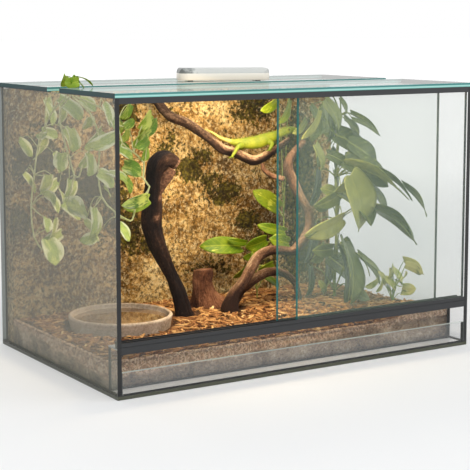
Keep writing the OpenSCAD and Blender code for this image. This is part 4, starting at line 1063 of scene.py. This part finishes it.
def lizardFigure():
    # Body tube, four legs with three toes each and a crest of cones along the neck
    points, quads, fans, uv = rounded(lizard["spine"], 6, lizard["sides"], (0, 0, 1), lizard["flat"])
    run = np.arange(len(points) - 2) // lizard["sides"] / 6.0
    shade = 0.55 + 0.09 * np.sin(run * 5.0) + 0.6 * (1 - wave((run - 1.5) / 3))
    parts = [(points, quads, fans, uv, np.concatenate([shade, [0.9, 0.5]]))]
    a, b, c = lizard["thick"]
    first, second, third = lizard["toeThick"]
    for leg in lizard["legs"]:
        hip, knee, foot = np.array(leg, float)
        thigh = 0.55 * hip + 0.45 * knee
        row = [[*hip, a], [*thigh, a + 0.4], [*knee, b], [*foot, c]]
        parts.append((*rounded(row, 5, 12, lizard["lean"]), 0.5))
        for x, y in lizard["toes"]:
            toe = foot + [x, y, lizard["toeDrop"]]
            middle = (foot + toe) / 2 + [0, 0, lizard["toeArch"]]
            row = [[*foot, first], [*middle, second], [*toe, third]]
            parts.append((*rounded(row, 3, 6, lizard["lean"]), 0.4))
    for x, y, z, r in smoothPath(lizard["spine"], 3)[6:-5]:
        cone = [[x + back, y, z + r * share + up, thick] for back, share, up, thick in lizard["crest"]]
        parts.append((*rounded(cone, 2, 6), 0.8))
    return joinedPiece("lizard_body", parts, lizardFinish())


def ball(centre, r, rows=9, columns=14):
    # Rings of a sphere between two poles
    up = np.linspace(-np.pi / 2, np.pi / 2, rows + 2)[1:-1, None]
    a = np.linspace(0, 2 * np.pi, columns, endpoint=False)
    rings = centre + r * np.stack([np.cos(up) * np.cos(a), np.cos(up) * np.sin(a), np.sin(up) + 0 * a], -1)
    points = tubePoints(rings)
    points[-2:] = centre + [[0, 0, -r], [0, 0, r]]
    return (points, *tubeFaces(rows, columns), np.zeros((len(points), 2)), 0.5)


def lizardEyes():
    # Nearly black with brown flecks
    dark = Finish("lizard_eye", 0.12, Coat_Weight=1.0)
    dark.paint(dark.mix(dark.noise(900, 2).above(0.5, 0.1), tone(20, 16, 12), tone(56, 38, 20)))
    eyes = [ball(centre, lizard["eyeSize"] * mm) for centre in plan(lizard["eyes"])]
    return joinedPiece("lizard_eyes", eyes, dark)


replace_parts(lizardFigure(), "lizard_figure")
lizardEyes()
print("lizard done")

# ---- Lamp

lamp = {"foot": 0.401, "height": 0.013, "patchEnd": -0.032}


def trayFinish():
    # Cream, a little darker towards the foot, with an even glow
    finish = Finish("lamp_tray", 0.35, Emission_Strength=0.06)
    height = (finish.axes()[2] - lamp["foot"]) / lamp["height"]
    glow = finish.ramp(height, (0.0, 190, 170, 120), (0.5, 255, 240, 205), (1.0, 255, 248, 230))
    finish.paint(finish.ramp(height, (0.0, 190, 184, 168), (0.3, 232, 226, 212), (1.0, 244, 240, 230)))
    finish.set("Emission Color", glow)
    return finish


def frostFinish():
    # Frosted grey with a darker patch on the left half of its top, edged by noise
    finish = Finish("lamp_cover")
    patch = 1 - (finish.axes()[0] + (finish.noise(120, 3) - 0.5) * 0.04).above(lamp["patchEnd"], 0.006)
    fine = finish.noise(700, 2)
    finish.paint(finish.mix(patch * 0.9, tone(206, 208, 204), tone(104, 110, 108)))
    finish.set("Roughness", fine * 0.2 + 0.3)
    finish.bump(fine, 0.0001, 0.5)
    return finish


plain(trayFinish(), "lamp_tray")
plain(frostFinish(), "lamp_cover")
plain(Finish("lamp_screw", 0.35, Base_Color=tone(150, 152, 154), Metallic=0.9), "lamp_screws")
plain(Finish("lamp_led", 0.3, Base_Color=tone(255, 250, 230), Emission_Color=tone(255, 244, 214),
             Emission_Strength=2.0), "lamp_leds")
print("lamp done")

# ---- Floor, light and camera

view = {"place": (-1.1066, -1.7600, 0.4911), "yaw": 32.19, "pitch": 6.85, "lens": 105.78, "shift": -0.10,
        "sensor": 36}
floor = {"half": 30, "pale": (0.90, 0.90, 0.90), "fadeAt": 1.8, "fadeSoft": 0.8}
# Place, aim, size, power and colour
lights = {
    "key": ((-1.4, -2.2, 2.6), (0, 0, 0.15), 1.6, 52, (1, 1, 1)),
    "fill": ((2.2, -1.6, 1.6), (0, 0, 0.15), 2.0, 21, (1, 1, 1)),
    "back": ((0.2, 2.0, 2.4), (0, 0, 0.2), 2.0, 17, (1, 1, 1)),
    "lamp_glow": ((0.023, 0.070, 0.380), (0.023, 0.080, 0.150), 0.11, 0.12, (1.0, 0.82, 0.54)),
    "lamp_spill": ((0.0, -0.05, 0.330), (0.0, 0.140, 0.080), 0.14, 1.35, (1.0, 0.80, 0.50))}


def areaLight(name, place, aim, size, power, colour):
    light = bpy.data.lights.new(name, "AREA")
    light.energy, light.size, light.color = power, size, colour
    holder = linked(name, light)
    holder.location = place
    holder.rotation_euler = (Vector(aim) - Vector(place)).to_track_quat("-Z", "Y").to_euler()
    return holder


def floorPlane():
    # Pale near the tank; further out it gives the white of the background as light
    half, black, pale = floor["half"], (0.0, 0.0, 0.0), floor["pale"]
    mesh = bpy.data.meshes.new("floor")
    corners = [(-half, -half, 0), (half, -half, 0), (half, half, 0), (-half, half, 0)]
    mesh.from_pydata(corners, [], [(0, 1, 2, 3)])
    finish = Finish("floor", 0.9, Emission_Strength=1.0)
    x, y, _ = finish.axes()
    far = ((x * x + y * y) ** 0.5).above(floor["fadeAt"], floor["fadeSoft"])
    finish.paint(finish.mix(far, pale, black))
    finish.set("Emission Color", finish.mix(far, black, (1.0, 1.0, 1.0)))
    mesh.materials.append(finish.material)
    linked("floor", mesh)


floorPlane()
placed = {name: areaLight(name, *row) for name, row in lights.items()}
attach(placed["lamp_glow"], "lamp")
for name in ("lamp_glow", "lamp_spill"):
    placed[name].visible_camera = placed[name].visible_glossy = False

# The room lights softly, and is white to the camera, in gloss and through clear pieces
world = bpy.data.worlds.new("room")
bpy.context.scene.world = world
world.use_nodes = True
tree = world.node_tree
seen, lit = tree.nodes["Background"], tree.nodes.new("ShaderNodeBackground")
for node, colour, strength in ((seen, (1, 1, 1, 1), 1.0), (lit, (0.96, 0.98, 1, 1), 0.54)):
    node.inputs[0].default_value, node.inputs[1].default_value = colour, strength
ways = tree.nodes.new("ShaderNodeLightPath")
clear = ways.outputs["Is Camera Ray"]
for ray in ("Is Glossy Ray", "Is Transmission Ray"):
    either = tree.nodes.new("ShaderNodeMath")
    either.operation = "MAXIMUM"
    tree.links.new(clear, either.inputs[0])
    tree.links.new(ways.outputs[ray], either.inputs[1])
    clear = either.outputs[0]
blend = tree.nodes.new("ShaderNodeMixShader")
for k, out in enumerate((clear, lit.outputs[0], seen.outputs[0])):
    tree.links.new(out, blend.inputs[k])
tree.links.new(blend.outputs[0], tree.nodes["World Output"].inputs[0])

camera = bpy.data.cameras.new("camera")
camera.lens, camera.sensor_width, camera.shift_y = view["lens"], view["sensor"], view["shift"]
holder = linked("camera", camera)
holder.location = view["place"]
holder.rotation_euler = (math.radians(90 - view["pitch"]), 0, -math.radians(view["yaw"]))
bpy.context.scene.camera = holder
bpy.context.scene.view_settings.view_transform = "Standard"

print("camera and light done")
